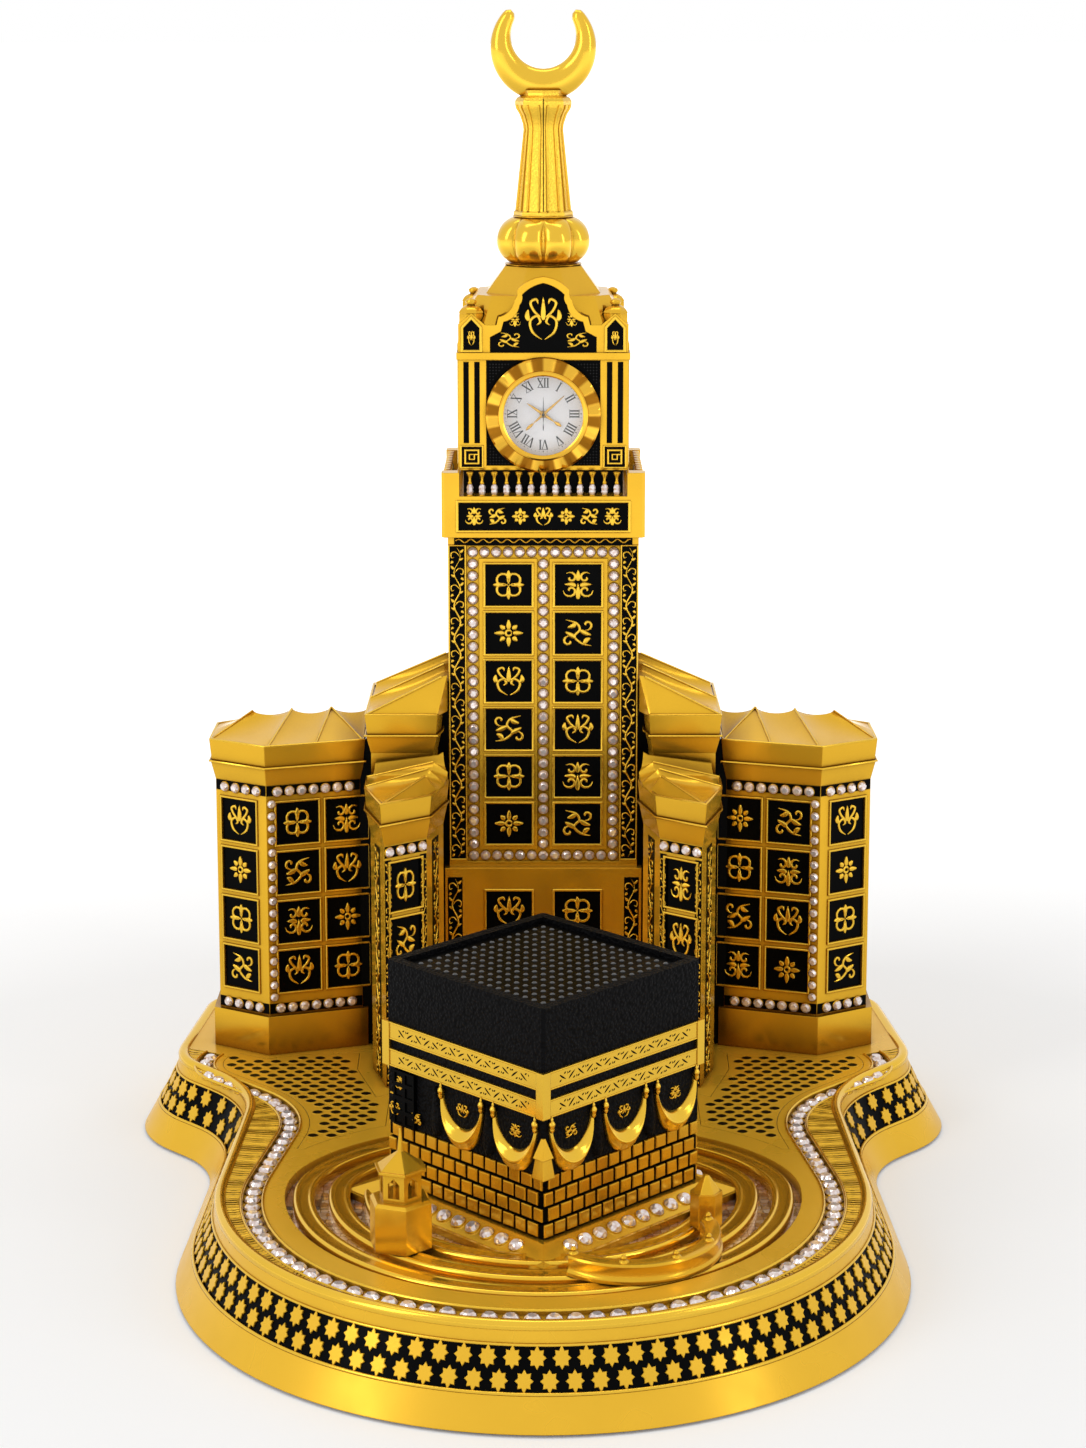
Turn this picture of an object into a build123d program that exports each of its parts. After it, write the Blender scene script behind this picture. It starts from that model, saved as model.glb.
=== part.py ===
from build123d import *
import os
from math import atan2, cos, degrees, hypot, radians, sin

os.makedirs("parts", exist_ok=True)

# Decorative desk clock: a waisted base with a round court, a draped cube, six
# wings and a tall tower that carries a push-in quartz clock below its spire.
# Millimetres. Origin: centre of the court on the underside of the base pad,
# +X to the viewer's right, +Y to the back, +Z up.

# Base outline, from the front lobe round to the straight back
lobe_radius = 104.0
lobe_turn = 92.4
flank_length = 53.6
waist_radius = 34.0
waist_turn = 47.4
hip_length = 8.5
hip_radius = 36.0
hip_turn = 51.0
side_length = 39.0
rear_radius = 28.0

# Base section: heights, and how far each edge stands in from the outline
pad_thickness = 0.8
pad_inset = 1.5
flange_top = 9.0
band_top = 20.0
deck_top = 25.0
deck_thickness = 3.0
flange_slope_inset = 4.5
band_lower_inset = 5.5
band_upper_inset = 10.8
deck_inset = 11.6
band_thickness = 1.5
band_clearance = 0.1
base_wall = 2.4
bottom_plate_thickness = 2.0
bottom_plate_lip = 3.5
plate_screw_radius = 1.5
plate_screw_head_radius = 2.8
plate_screw_head_height = 0.8
plate_screw_length = 4.0
screw_boss_radius = 4.0
screw_inset = 11.5
rear_screw_x = 70.0

# Court: a pit that is round in front and flattened behind, with raised rings
court_centre_y = -2.4
court_radius = 72.8
court_flattening = 20.5
court_floor_thickness = 2.0
court_floor_lap = 2.0
ring_outer_radii = (70.6, 60.6, 50.6)
ring_width = 6.2
ring_height = 3.0

# Stone border on the deck
border_start_y = -86.8
border_radius = 81.8
border_turn = 98.5
border_flank_length = 33.0
border_waist_radius = 40.0
border_waist_turn = 54.0
border_hip_length = 19.0
border_hip_radius = 20.0
border_hip_turn = 72.0
border_groove_width = 5.4
border_groove_depth = 1.2
border_stone_pitch = 5.5
border_stone_radius = 2.5

# Stones on the walls
stone_radius = 1.8
stone_height = 1.1
stone_seat_depth = 0.6
stone_pitch = 3.84

# Perforated deck panels beside the court
grille_thickness = 1.8
grille_ledge = 1.6
grille_clearance = 0.15
grille_border = 8.0
grille_margin = 3.0
grille_hole_radius = 2.2
grille_pitch_x = 8.8
grille_pitch_y = 6.4
grille_front_y = 28.0
grille_inner_x = 47.0

# Cube, turned a quarter-turn half
cube_side = 62.2
cube_turn = 45.0
plinth_spread = 9.0
plinth_curb = 2.0
plinth_height = 5.0
masonry_height = 18.0
masonry_inset = 0.6
course_groove = 0.7
course_count = 4
cover_top = 92.0
cover_rim_width = 3.2
cover_recess = 2.6
roof_panel_thickness = 1.2
belt_bottoms = (61.4, 69.2)
belt_height = 5.1
belt_thickness = 0.6
belt_corner_width = 5.0
swag_bays = 3
swag_top = 59.0
swag_drop = 15.5
swag_width = 15.6
swag_depth = 1.5
swag_fold = 5.2
swag_curve = ((-0.5, 0), (-0.47, 0.45), (-0.28, 0.85), (0, 1), (0.28, 0.85), (0.47, 0.45), (0.5, 0))
swag_knob_radius = 1.2
door_height = 16.0
door_width = 8.5
door_depth = 1.2
door_offset = 23.0
corner_lantern_height = 11.0
lantern_radius = 2.2

# Small buildings in the court
kiosk_centre = (-38.4, -41.0)
kiosk_radius = 8.9
kiosk_turn = 42.0
kiosk_base_height = 13.5
kiosk_lantern_radius = 6.0
kiosk_lantern_height = 8.0
kiosk_eave_radius = 7.4
kiosk_roof_height = 5.0
kiosk_finial_height = 6.5
kiosk_arch_width = 3.2
kiosk_edge = 0.8
kiosk_wall = 1.2
kiosk_finial_radius = 0.9
arc_wall_centre = (23.0, -43.0)
arc_wall_radius = 24.8
arc_wall_thickness = 4.6
arc_wall_height = 5.5
arc_wall_start = -132.0
arc_wall_sweep = 148.0
corner_kiosk_centre = (44.6, -28.2)
corner_kiosk_radius = 4.4
corner_kiosk_height = 10.0
corner_kiosk_cap = 4.5

# Tower
tower_front_y = 124.0
tower_depth = 52.0
shaft_half_width = 30.0
foot_half_width = 31.4
foot_step = 2.2
foot_top = 83.0
shaft_top = 190.5
tile_depth = 0.8
tile_clearance = 0.1
tower_tile_width = 14.7
tower_tile_height = 13.3
tower_tile_pitch = 15.52
tower_tile_column_x = 10.95
tower_tile_top = shaft_top - 9.1
tower_tile_rows = 6
foot_tile_top = foot_top - 7.5
foot_tile_rows = 3
side_panel_width = 34.0
side_panel_margin = 6.0
stone_column_x = (-22.2, 0.0, 22.2)
stone_row_z = (foot_top + 3.6, shaft_top - 5.3)

# Balcony
balcony_half_width = 31.8
balcony_reach = 4.0
balcony_slab_height = 13.1
balcony_post_height = 7.4
balcony_slab_top = shaft_top + balcony_slab_height
balcony_top = balcony_slab_top + balcony_post_height
balcony_post_width = 5.6
frieze_bottom = shaft_top + 2.3
frieze_top = balcony_slab_top - 1.9
frieze_half_width = 26.6
frieze_depth = 0.8
baluster_radius = 0.95
baluster_pitch = 3.82
baluster_front_count = 13
baluster_side_count = 11
baluster_setback = 1.6

# Clock housing
housing_half_width = 26.5
housing_setback = 2.0
housing_depth = 48.0
housing_height = 45.5
eave_top = balcony_top + housing_height
cornice_bottom = eave_top - 10.8
cornice_height = 2.2
cornice_overhang = 0.6
clock_field_half = 18.2
field_lift = 0.6
clock_centre_z = balcony_top + 17.4
slot_width = 1.7
slot_depth = 0.7
slot_bottom = balcony_top + 8.5
slot_top = cornice_bottom - 0.7
meander_side = 6.6
meander_bottom = balcony_top + 0.9
meander_core = 4.0
niche_half_width = 4.3
niche_sill = 1.0
niche_width = 5.6
arch_thickness = 2.4
arch_foot = (16.6, 4.8)
arch_knots = ((13.2, 6.6), (12.4, 9.6), (7.4, 14.8), (6.6, 18.0))
arch_height = 21.6
arch_tip_growth = 1.3
arch_lobe_radius = 6.0
arch_cusp_radius = 3.4
arch_ogee_radius = 12.0
arch_frame_width = 1.5
arch_panel_depth = 1.0
gable_slope = 5.6
gable_depth = 2.4
turret_radius = 4.0
turret_neck_radius = 2.0
turret_lip_radius = 2.7
turret_tip_radius = 1.5
turret_body_height = 4.1
turret_neck_height = 6.5
turret_lip_height = 7.1
turret_height = 8.8

# Roof and spire
skirt_height = 8.5
skirt_top = eave_top + skirt_height
skirt_half_width = 20.6
cone_half_width = 18.0
cone_height = 8.3
cone_top = skirt_top + cone_height
cone_top_radius = 12.0
bulb_radius = 15.5
bulb_waist_radius = 12.4
bulb_shoulder_radius = 13.6
bulb_tip_share = 0.79
bulb_neck_radius = 9.4
bulb_middle_height = 7.1
bulb_height = 15.6
bulb_mid_z = cone_top + bulb_middle_height
bulb_top_z = cone_top + bulb_height
bulb_lobes = 8
lobe_notch = 0.82
spire_height = 26.8
spire_neck_z = bulb_top_z + spire_height
spire_neck_radius = 6.3
collar_rise = 7.3
collar_fall = 5.0
collar_z = spire_neck_z + collar_rise
collar_radius = 8.9
collar_top_z = collar_z + collar_fall
collar_top_radius = 6.4
crescent_radius = 16.6
crescent_sink = 3.2
crescent_centre_z = collar_top_z + crescent_radius - crescent_sink
crescent_tip_x = 8.3
crescent_tip_z = crescent_centre_z + 11.6
crescent_hollow_radius = 10.2
crescent_hollow_z = crescent_centre_z + 3.8
crescent_thickness = 7.0
crescent_edge = 1.6

# Wings: plan corners of the viewer's left ones, front corner first where named
outer_wing_plan = (
    (-105.7, 119.2), (-87.4, 108.5), (-56.3, 118.4), (-56.3, 151.0), (-91.0, 151.0), (-105.7, 141.0),
)
inner_wing_plan = (
    (-49.5, 76.0), (-34.3, 87.3), (-29.5, 106.0), (-31.2, 111.8), (-55.6, 111.8), (-55.4, 96.3),
)
mid_wing_plan = ((-56.0, 112.1), (-33.2, 112.1), (-31.7, 119.5), (-31.7, 158.0), (-56.0, 158.0))
wing_body_inset = 1.8
outer_base_top = 37.6
outer_body_top = 113.1
outer_cap_levels = (119.0, 126.0)
inner_body_top = 102.3
inner_cap_levels = (109.2, 116.0)
mid_body_top = 122.9
mid_cap_levels = (128.8, 135.4)
cap_taper_inset = 1.4
cap_groove = 0.35
outer_tile_pitch = 16.2
outer_tile_height = 13.6
outer_tile_top = 107.2
wing_tile_rows = 4
outer_front_tile_width = 13.6
outer_front_tile_starts = (3.2, 19.2)
outer_side_tile_width = 13.2
outer_side_tile_start = 2.2
inner_tile_width = 11.6
inner_tile_pitch = 17.8
inner_tile_height = 15.3
inner_tile_top = 96.4
outer_roof_peak = 6.6
outer_roof_valley = 3.4
outer_roof_peaks = 4
outer_roof_start = -16.0
outer_roof_width = 60.0
outer_roof_depth = 44.0
outer_hip_rise = 0.42
roof_edge = 0.2
roof_seat = 1.0
inner_roof_heights = (0.6, 2.6, 0.8, 1.8, 0.4, 0.1)
inner_roof_rise = 5.4
inner_hip_rise = 0.3
mid_roof_heights = (0.3, 3.0, 1.6, 4.4, 1.2, 3.6, 0.2)
mid_roof_rise = 10.6
mid_hip_rise = 1.2
roof_room = 30.0

# Push-in clock: 35 mm body, depths measured back from the face of the housing
insert_radius = 17.45
insert_bore_radius = 17.5
insert_bore_depth = 18.0
case_depth = 15.0
case_wall = 1.0
bezel_radius = 18.0
bezel_inner_radius = 13.5
bezel_sight_radius = 12.4
bezel_height = 3.0
bezel_land = 0.8
bezel_flutes = 24
lens_radius = 13.0
lens_thickness = 1.0
lens_front = -2.6
dial_radius = 14.0
dial_front = 2.6
dial_thickness = 0.4
running_clearance = 0.05

# Hands: reach and tail of each, and their depths
minute_reach = 8.8
minute_tail = 7.4
minute_angle = 48.0
hour_reach = 6.2
hour_tail = 6.8
hour_angle = 304.0
second_reach = 5.6
second_tail = 5.0
second_angle = 0.0
minute_width = 0.9
hour_width = 1.0
second_width = 0.3
hand_thickness = 0.3
second_hand_depth = 0.1
minute_hand_depth = 0.8
hour_hand_depth = 1.5
second_hub_radius = 0.8
minute_hub_radius = 1.2
hour_hub_radius = 1.5

# Movement: arbors, plates and wheels
second_arbor_radius = 0.3
minute_pipe_radius = 0.65
hour_pipe_radius = 1.0
front_plate_front = 5.6
front_plate_thickness = 0.8
back_plate_front = 12.6
back_plate_thickness = 1.0
tooth_addendum = 0.85
tooth_dedendum = 1.25
tooth_root_share = 0.27
mesh_clearance = 0.04
motion_distance = 3.6
cannon_teeth = 10
minute_wheel_teeth = 30
minute_wheel_pinion_teeth = 8
hour_wheel_teeth = 32
setting_teeth = 10
train_distance = 4.3
seconds_pinion_teeth = 6
third_wheel_teeth = 45
third_pinion_teeth = 6
centre_wheel_teeth = 48
fifth_distance = 4.4
seconds_wheel_teeth = 36
fifth_pinion_teeth = 6
fifth_wheel_teeth = 30
rotor_distance = 3.7
rotor_pinion_teeth = 6
rotor_magnet_radius = 1.6
wheel_thickness = 0.4
pinion_thickness = 0.6
pivot_radius = 0.25
stem_radius = 0.5
hour_wheel_depth = 3.6
minute_wheel_depth = 4.6
centre_wheel_depth = 6.8
third_wheel_depth = 7.8
seconds_wheel_depth = 8.9
fifth_wheel_depth = 9.9
rotor_magnet_front = 10.9
rotor_magnet_length = 1.3
rim_inner_radius = 13.0
pillar_radius = 1.0
pillar_distance = 14.0
pillar_bearings = (75.0, 200.0, 340.0)
stator_depth = 11.2
stator_thickness = 0.6
stator_width = 1.6
stator_ring_radius = 3.0
motion_bearing = 200.0
third_bearing = 330.0
fifth_bearing = 90.0
rotor_bearing = 20.0
cell_radius = 5.8
cell_thickness = 5.2
cell_place = (0.0, -9.6)
coil_length = 12.0
coil_radius = 1.0
coil_place = (-10.6, 4.0)
knob_radius = 3.2
knob_height = 2.2


def polar(radius, angle):
    """Point at a radius and an angle in degrees."""
    return (radius * cos(radians(angle)), radius * sin(radians(angle)))


def base_outline(inset):
    """Waisted plan of the base, pulled in by inset all round."""
    with BuildSketch() as outline:
        with BuildLine():
            lobe = JernArc((0, inset - lobe_radius), (1, 0), lobe_radius - inset, lobe_turn)
            flank = Line(lobe @ 1, lobe @ 1 + (lobe % 1) * flank_length)
            waist = JernArc(flank @ 1, flank % 1, waist_radius + inset, -waist_turn)
            rise = Line(waist @ 1, waist @ 1 + (waist % 1) * hip_length)
            hip = JernArc(rise @ 1, rise % 1, hip_radius - inset, hip_turn)
            side = Line(hip @ 1, hip @ 1 + (hip % 1) * side_length)
            rear_turn = 180 - lobe_turn + waist_turn - hip_turn
            rear = JernArc(side @ 1, side % 1, rear_radius - inset, rear_turn)
            Line(rear @ 1, (0, (rear @ 1).Y))
            mirror(about=Plane.YZ)
        make_face()
    return outline.sketch


def court_outline(radius):
    """Court edge: half a circle in front, half an ellipse behind."""
    with BuildSketch() as outline:
        with BuildLine():
            CenterArc((0, court_centre_y), radius, 180, 180)
            EllipticalCenterArc((0, court_centre_y), radius, radius - court_flattening, 0, arc_size=180)
        make_face()
    return outline.sketch


def cube_square(half_width):
    """Square with the cube's turn, by its half width."""
    with BuildSketch() as square:
        Rectangle(2 * half_width, 2 * half_width, rotation=cube_turn)
    return square.sketch


def polygon(points):
    """Face with the given corners, also where they are the corners of a plan."""
    with BuildSketch() as shape:
        with BuildLine():
            Polyline(*points, close=True)
        make_face()
    return shape.sketch


def inset_polygon(points, amount):
    """Polygon pulled in by an amount, with its corners kept sharp."""
    with BuildSketch() as shape:
        add(polygon(points))
        if amount:
            offset(amount=-amount, kind=Kind.INTERSECTION)
    return shape.sketch


def mirrored(points):
    """Plan of a left piece turned into that of the right one."""
    return tuple((-x, y) for x, y in reversed(points))


def wall_plane(start, end, height=0.0):
    """Plane on a wall from start to end, seen from outside with start on the left."""
    run = (end[0] - start[0], end[1] - start[1], 0)
    outward = (run[1], -run[0], 0)
    return Plane(origin=(start[0], start[1], height), x_dir=run, z_dir=outward)


def wall_length(start, end):
    return hypot(end[0] - start[0], end[1] - start[1])


def sloped(face, start, end, lean):
    """Block on a face from one height to another, up or down, its walls leaning in by lean."""
    height = abs(end - start)
    with BuildPart() as block:
        with BuildSketch():
            add(face)
        extrude(amount=height, taper=degrees(atan2(lean, height)))
        if end < start:
            mirror(about=Plane.XY, mode=Mode.REPLACE)
    return Pos(0, 0, start) * block.part


def stones_on(plane, places, radius=stone_radius):
    """Square-cut stones standing on a plane."""
    with BuildPart() as stones:
        with BuildSketch(plane):
            with Locations(*places):
                RegularPolygon(radius=radius, side_count=4)
        extrude(amount=stone_height)
    return stones.part


def spread(length, pitch, margin):
    """Evenly spaced places along a length, as near the pitch as a whole number allows."""
    room = length - 2 * margin
    count = max(1, round(room / pitch))
    return [margin + room * n / count for n in range(count + 1)]


# Base shell: sloped flange, recessed band seat, fascia and deck, hollow below
seat_inset = band_lower_inset + band_thickness
seat_lean = band_upper_inset - band_lower_inset
cavity = base_outline(seat_inset + base_wall)
with BuildPart() as base_shell:
    add(sloped(base_outline(0), pad_thickness, flange_top, flange_slope_inset))
    add(sloped(base_outline(seat_inset), flange_top, band_top, seat_lean))
    add(sloped(base_outline(band_upper_inset), band_top, deck_top, deck_inset - band_upper_inset))
    with BuildSketch(Plane.XY.offset(pad_thickness)):
        add(base_outline(bottom_plate_lip))
    extrude(amount=bottom_plate_thickness, mode=Mode.SUBTRACT)
    with BuildSketch(Plane.XY.offset(pad_thickness)):
        add(cavity)
    extrude(amount=flange_top - pad_thickness, mode=Mode.SUBTRACT)
    add(sloped(cavity, flange_top, deck_top - deck_thickness, seat_lean), mode=Mode.SUBTRACT)

# Stone border line, right half, on the deck
with BuildLine() as border_line:
    border_front = JernArc((0, border_start_y), (1, 0), border_radius, border_turn)
    border_flank = Line(border_front @ 1, border_front @ 1 + (border_front % 1) * border_flank_length)
    border_waist = JernArc(border_flank @ 1, border_flank % 1, border_waist_radius, -border_waist_turn)
    border_rise = Line(border_waist @ 1, border_waist @ 1 + (border_waist % 1) * border_hip_length)
    border_hip = JernArc(border_rise @ 1, border_rise % 1, border_hip_radius, border_hip_turn)
border_wire = border_line.wire()

def panel_area(shrink):
    """Perforated panel, viewer's right, between court, border and wings."""
    with BuildSketch() as feet:
        for plan in (outer_wing_plan, inner_wing_plan):
            add(polygon(mirrored(plan)))
        offset(amount=grille_margin + shrink, kind=Kind.INTERSECTION)
    with BuildSketch() as area:
        with BuildLine():
            add(border_wire)
            Polyline(border_wire @ 1, (0, (border_wire @ 1).Y), (0, border_start_y))
        make_face()
        with Locations((grille_inner_x + shrink, grille_front_y + shrink)):
            Rectangle(3 * lobe_radius, 3 * lobe_radius, align=(Align.MIN, Align.MIN), mode=Mode.INTERSECT)
        add(court_outline(court_radius + grille_border + shrink), mode=Mode.SUBTRACT)
        trace(border_wire, line_width=border_groove_width + 2 * grille_margin + 2 * shrink, mode=Mode.SUBTRACT)
        add(feet.sketch, mode=Mode.SUBTRACT)
    return area.faces().sort_by(SortBy.AREA)[-1]


# Lozenge holes in staggered rows, wherever a whole one fits
grille_hole_field = panel_area(grille_hole_radius + grille_ledge)
field_box = grille_hole_field.bounding_box()
grille_holes = []
row = 0
hole_y = field_box.min.Y
while hole_y < field_box.max.Y:
    hole_x = field_box.min.X + (row % 2) * grille_pitch_x / 2
    while hole_x < field_box.max.X:
        if grille_hole_field.is_inside((hole_x, hole_y, 0)):
            grille_holes.append((hole_x, hole_y))
        hole_x += grille_pitch_x
    hole_y += grille_pitch_y
    row += 1

with BuildPart() as deck_panels:
    with BuildSketch(Plane.XY.offset(deck_top - grille_thickness)):
        add(panel_area(grille_clearance))
        with Locations(*grille_holes):
            RegularPolygon(radius=grille_hole_radius, side_count=4, rotation=0, mode=Mode.SUBTRACT)
    extrude(amount=grille_thickness)
    mirror(about=Plane.YZ)
deck_panels.part.label = "deck_panels"

# Openings in the deck: court pit, panel seats and the stone groove
pit_depth = deck_thickness + court_floor_thickness
plinth_half = cube_side / 2 + plinth_spread
pit_clearance = 0.3
with BuildPart(mode=Mode.PRIVATE) as deck_cuts:
    with BuildSketch(Plane.XY.offset(deck_top - deck_thickness)):
        add(court_outline(court_radius))
        add(cube_square(plinth_half + pit_clearance))
    extrude(amount=2 * deck_thickness)
    with BuildSketch(Plane.XY.offset(deck_top - grille_thickness)):
        add(panel_area(0))
    extrude(amount=2 * grille_thickness)
    with BuildSketch(Plane.XY.offset(deck_top - 2 * deck_thickness)):
        add(panel_area(grille_ledge))
    extrude(amount=2 * deck_thickness)
    with BuildSketch(Plane.XY.offset(deck_top - border_groove_depth)):
        trace(border_wire, line_width=border_groove_width)
    extrude(amount=2 * border_groove_depth)
    mirror(about=Plane.YZ)
back_edge_y = base_outline(0).bounding_box().max.Y
screw_places = [
    (0, screw_inset - lobe_radius),
    (screw_inset - lobe_radius, 0),
    (lobe_radius - screw_inset, 0),
    (-rear_screw_x, back_edge_y - screw_inset),
    (0, back_edge_y - screw_inset),
    (rear_screw_x, back_edge_y - screw_inset),
]
plate_top = pad_thickness + bottom_plate_thickness
with BuildPart() as base_body:
    add(base_shell.part)
    with BuildSketch(Plane.XY.offset(plate_top)):
        with Locations(*screw_places):
            RegularPolygon(radius=screw_boss_radius, side_count=12)
    extrude(amount=flange_top - plate_top)
    with BuildSketch(Plane.XY.offset(plate_top)):
        with Locations(*screw_places):
            RegularPolygon(radius=plate_screw_radius + band_clearance, side_count=8)
    extrude(amount=plate_screw_length, mode=Mode.SUBTRACT)
    add(deck_cuts.part, mode=Mode.SUBTRACT)
base_body.part.label = "base_shell"

with BuildPart() as inlay_band:
    add(sloped(base_outline(band_lower_inset), flange_top, band_top, seat_lean))
    add(sloped(base_outline(seat_inset - band_clearance), flange_top, band_top, seat_lean), mode=Mode.SUBTRACT)
inlay_band.part.label = "inlay_band"

with BuildPart() as bottom_plate:
    with BuildSketch(Plane.XY.offset(pad_thickness)):
        add(base_outline(bottom_plate_lip + band_clearance))
    extrude(amount=bottom_plate_thickness)
    with BuildSketch(Plane.XY.offset(pad_thickness)):
        with Locations(*screw_places):
            RegularPolygon(radius=plate_screw_radius + 2 * band_clearance, side_count=8)
    extrude(amount=bottom_plate_thickness, mode=Mode.SUBTRACT)
    with BuildSketch(Plane.XY.offset(pad_thickness)):
        with Locations(*screw_places):
            RegularPolygon(radius=plate_screw_head_radius + 2 * band_clearance, side_count=12)
    extrude(amount=plate_screw_head_height, mode=Mode.SUBTRACT)
bottom_plate.part.label = "bottom_plate"

with BuildPart() as plate_screws:
    with BuildSketch(Plane.XY.offset(pad_thickness)):
        with Locations(*screw_places):
            RegularPolygon(radius=plate_screw_head_radius, side_count=12)
    extrude(amount=plate_screw_head_height)
    with BuildSketch(Plane.XY.offset(pad_thickness + plate_screw_head_height)):
        with Locations(*screw_places):
            RegularPolygon(radius=plate_screw_radius, side_count=8)
    extrude(amount=plate_screw_length)
plate_screws.part.label = "plate_screws"

with BuildPart() as base_pad:
    with BuildSketch():
        add(base_outline(pad_inset))
    extrude(amount=pad_thickness)
base_pad.part.label = "base_pad"

# Court floor, a mirror plate laid under the pit, and the three rings on it
with BuildPart() as court_floor:
    with BuildSketch(Plane.XY.offset(deck_top - pit_depth)):
        add(court_outline(court_radius + court_floor_lap))
        add(cube_square(plinth_half + court_floor_lap))
    extrude(amount=court_floor_thickness)
court_floor.part.label = "court_floor"

floor_top = deck_top - deck_thickness
plinth_footprint = cube_square(plinth_half + pit_clearance)
with BuildPart() as court_rings:
    with BuildSketch(Plane.XY.offset(floor_top)):
        for ring_radius in ring_outer_radii:
            with BuildSketch(mode=Mode.PRIVATE) as ring:
                add(court_outline(ring_radius))
                add(court_outline(ring_radius - ring_width), mode=Mode.SUBTRACT)
            add(ring.sketch)
        add(plinth_footprint, mode=Mode.SUBTRACT)
    extrude(amount=ring_height)
court_rings.part.label = "court_rings"

# Cube: plinth with a sloped stone channel
cube_half = cube_side / 2
plinth_top = floor_top + plinth_height
curb_top = floor_top + plinth_curb
slope_inner_half = cube_half + plinth_spread / 6
with BuildPart() as cube_plinth:
    with BuildSketch(Plane.XY.offset(floor_top)):
        add(cube_square(plinth_half))
    extrude(amount=plinth_curb)
    slope_outer_half = plinth_half - plinth_curb / 2
    add(sloped(cube_square(slope_outer_half), curb_top, plinth_top, slope_outer_half - slope_inner_half))
cube_plinth.part.label = "cube_plinth"

# Border stones on the deck, and plinth stones on the four slopes
slope_run = plinth_half - plinth_curb / 2 - slope_inner_half
slope_rise = plinth_top - curb_top
slope_middle = slope_inner_half + slope_run / 2
stone_total = int(border_wire.length / border_stone_pitch)
border_stone_places = []
for n in range(stone_total):
    place = border_wire @ ((n + 0.5) / stone_total)
    before_wings = place.Y < outer_wing_plan[1][1] - border_stone_radius
    beside_wings = place.X > border_radius + border_hip_radius
    if before_wings or beside_wings:
        border_stone_places.append((place.X, place.Y))
with BuildPart() as court_stones:
    add(stones_on(Plane.XY.offset(deck_top - border_groove_depth), border_stone_places, border_stone_radius))
    mirror(about=Plane.YZ)
    for side in range(4):
        along, out = polar(1, side * 90 - cube_turn), polar(1, side * 90 - cube_turn - 90)
        slope_plane = Plane(
            origin=(slope_middle * out[0], slope_middle * out[1], curb_top + slope_rise / 2),
            x_dir=(along[0], along[1], 0),
            z_dir=(out[0] * slope_rise, out[1] * slope_rise, slope_run),
        )
        places = [(at - cube_half, 0) for at in spread(cube_side, border_stone_pitch, border_stone_pitch)]
        add(stones_on(slope_plane, places, stone_radius))
court_stones.part.label = "court_stones"

# Masonry: closed block with a groove below each course
masonry_top = plinth_top + masonry_height
masonry_half = cube_half - masonry_inset
course_height = masonry_height / course_count
with BuildPart() as cube_masonry:
    with BuildSketch(Plane.XY.offset(plinth_top)):
        add(cube_square(masonry_half))
    extrude(amount=masonry_height)
    for course in range(1, course_count):
        with BuildSketch(Plane.XY.offset(plinth_top + course * course_height - course_groove / 2)):
            add(cube_square(cube_half))
            add(cube_square(masonry_half - course_groove), mode=Mode.SUBTRACT)
        extrude(amount=course_groove, mode=Mode.SUBTRACT)
cube_masonry.part.label = "cube_masonry"

# Draped cover: a closed block with a raised rim round the roof
with BuildPart() as cube_cover:
    with BuildSketch(Plane.XY.offset(masonry_top)):
        add(cube_square(cube_half))
    extrude(amount=cover_top - masonry_top)
    chamfer(edges().filter_by(Axis.Z), length=0.8)
    with BuildSketch(Plane.XY.offset(cover_top - cover_recess)):
        add(cube_square(cube_half - cover_rim_width))
    extrude(amount=cover_recess, mode=Mode.SUBTRACT)
cube_cover.part.label = "cube_cover"

panel_gap = 0.2
with BuildPart() as cube_roof_panel:
    with BuildSketch(Plane.XY.offset(cover_top - cover_recess)):
        add(cube_square(cube_half - cover_rim_width - panel_gap))
    extrude(amount=roof_panel_thickness)
cube_roof_panel.part.label = "cube_roof_panel"

# Belts: two bands round the cover, joined by a bar at each corner
with BuildPart() as cube_belts:
    belt_half = cube_half + belt_thickness
    belt_total = belt_bottoms[1] + belt_height - belt_bottoms[0]
    for bottom in belt_bottoms:
        with BuildSketch(Plane.XY.offset(bottom)):
            add(cube_square(belt_half))
            add(cube_square(cube_half), mode=Mode.SUBTRACT)
        extrude(amount=belt_height)
    with BuildSketch(Plane.XY.offset(belt_bottoms[0])):
        with PolarLocations(radius=belt_half * 2 ** 0.5, count=4):
            Rectangle(belt_corner_width, belt_corner_width, rotation=cube_turn)
        add(cube_square(cube_half), mode=Mode.SUBTRACT)
        add(cube_square(belt_half + belt_thickness / 2), mode=Mode.INTERSECT)
    extrude(amount=belt_total)
cube_belts.part.label = "cube_belts"


def cube_wall_plane(side, out=0.0):
    """Plane on one wall of the cube, its middle at the plane's origin, X to the right."""
    facing = polar(1, side * 90 - cube_turn - 90)
    reach = cube_half + out
    return Plane(
        origin=(facing[0] * reach, facing[1] * reach, 0),
        x_dir=(-facing[1], facing[0], 0),
        z_dir=(facing[0], facing[1], 0),
    )


lantern_plane = Plane(origin=(0, -cube_half * 2 ** 0.5, masonry_top))

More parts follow.
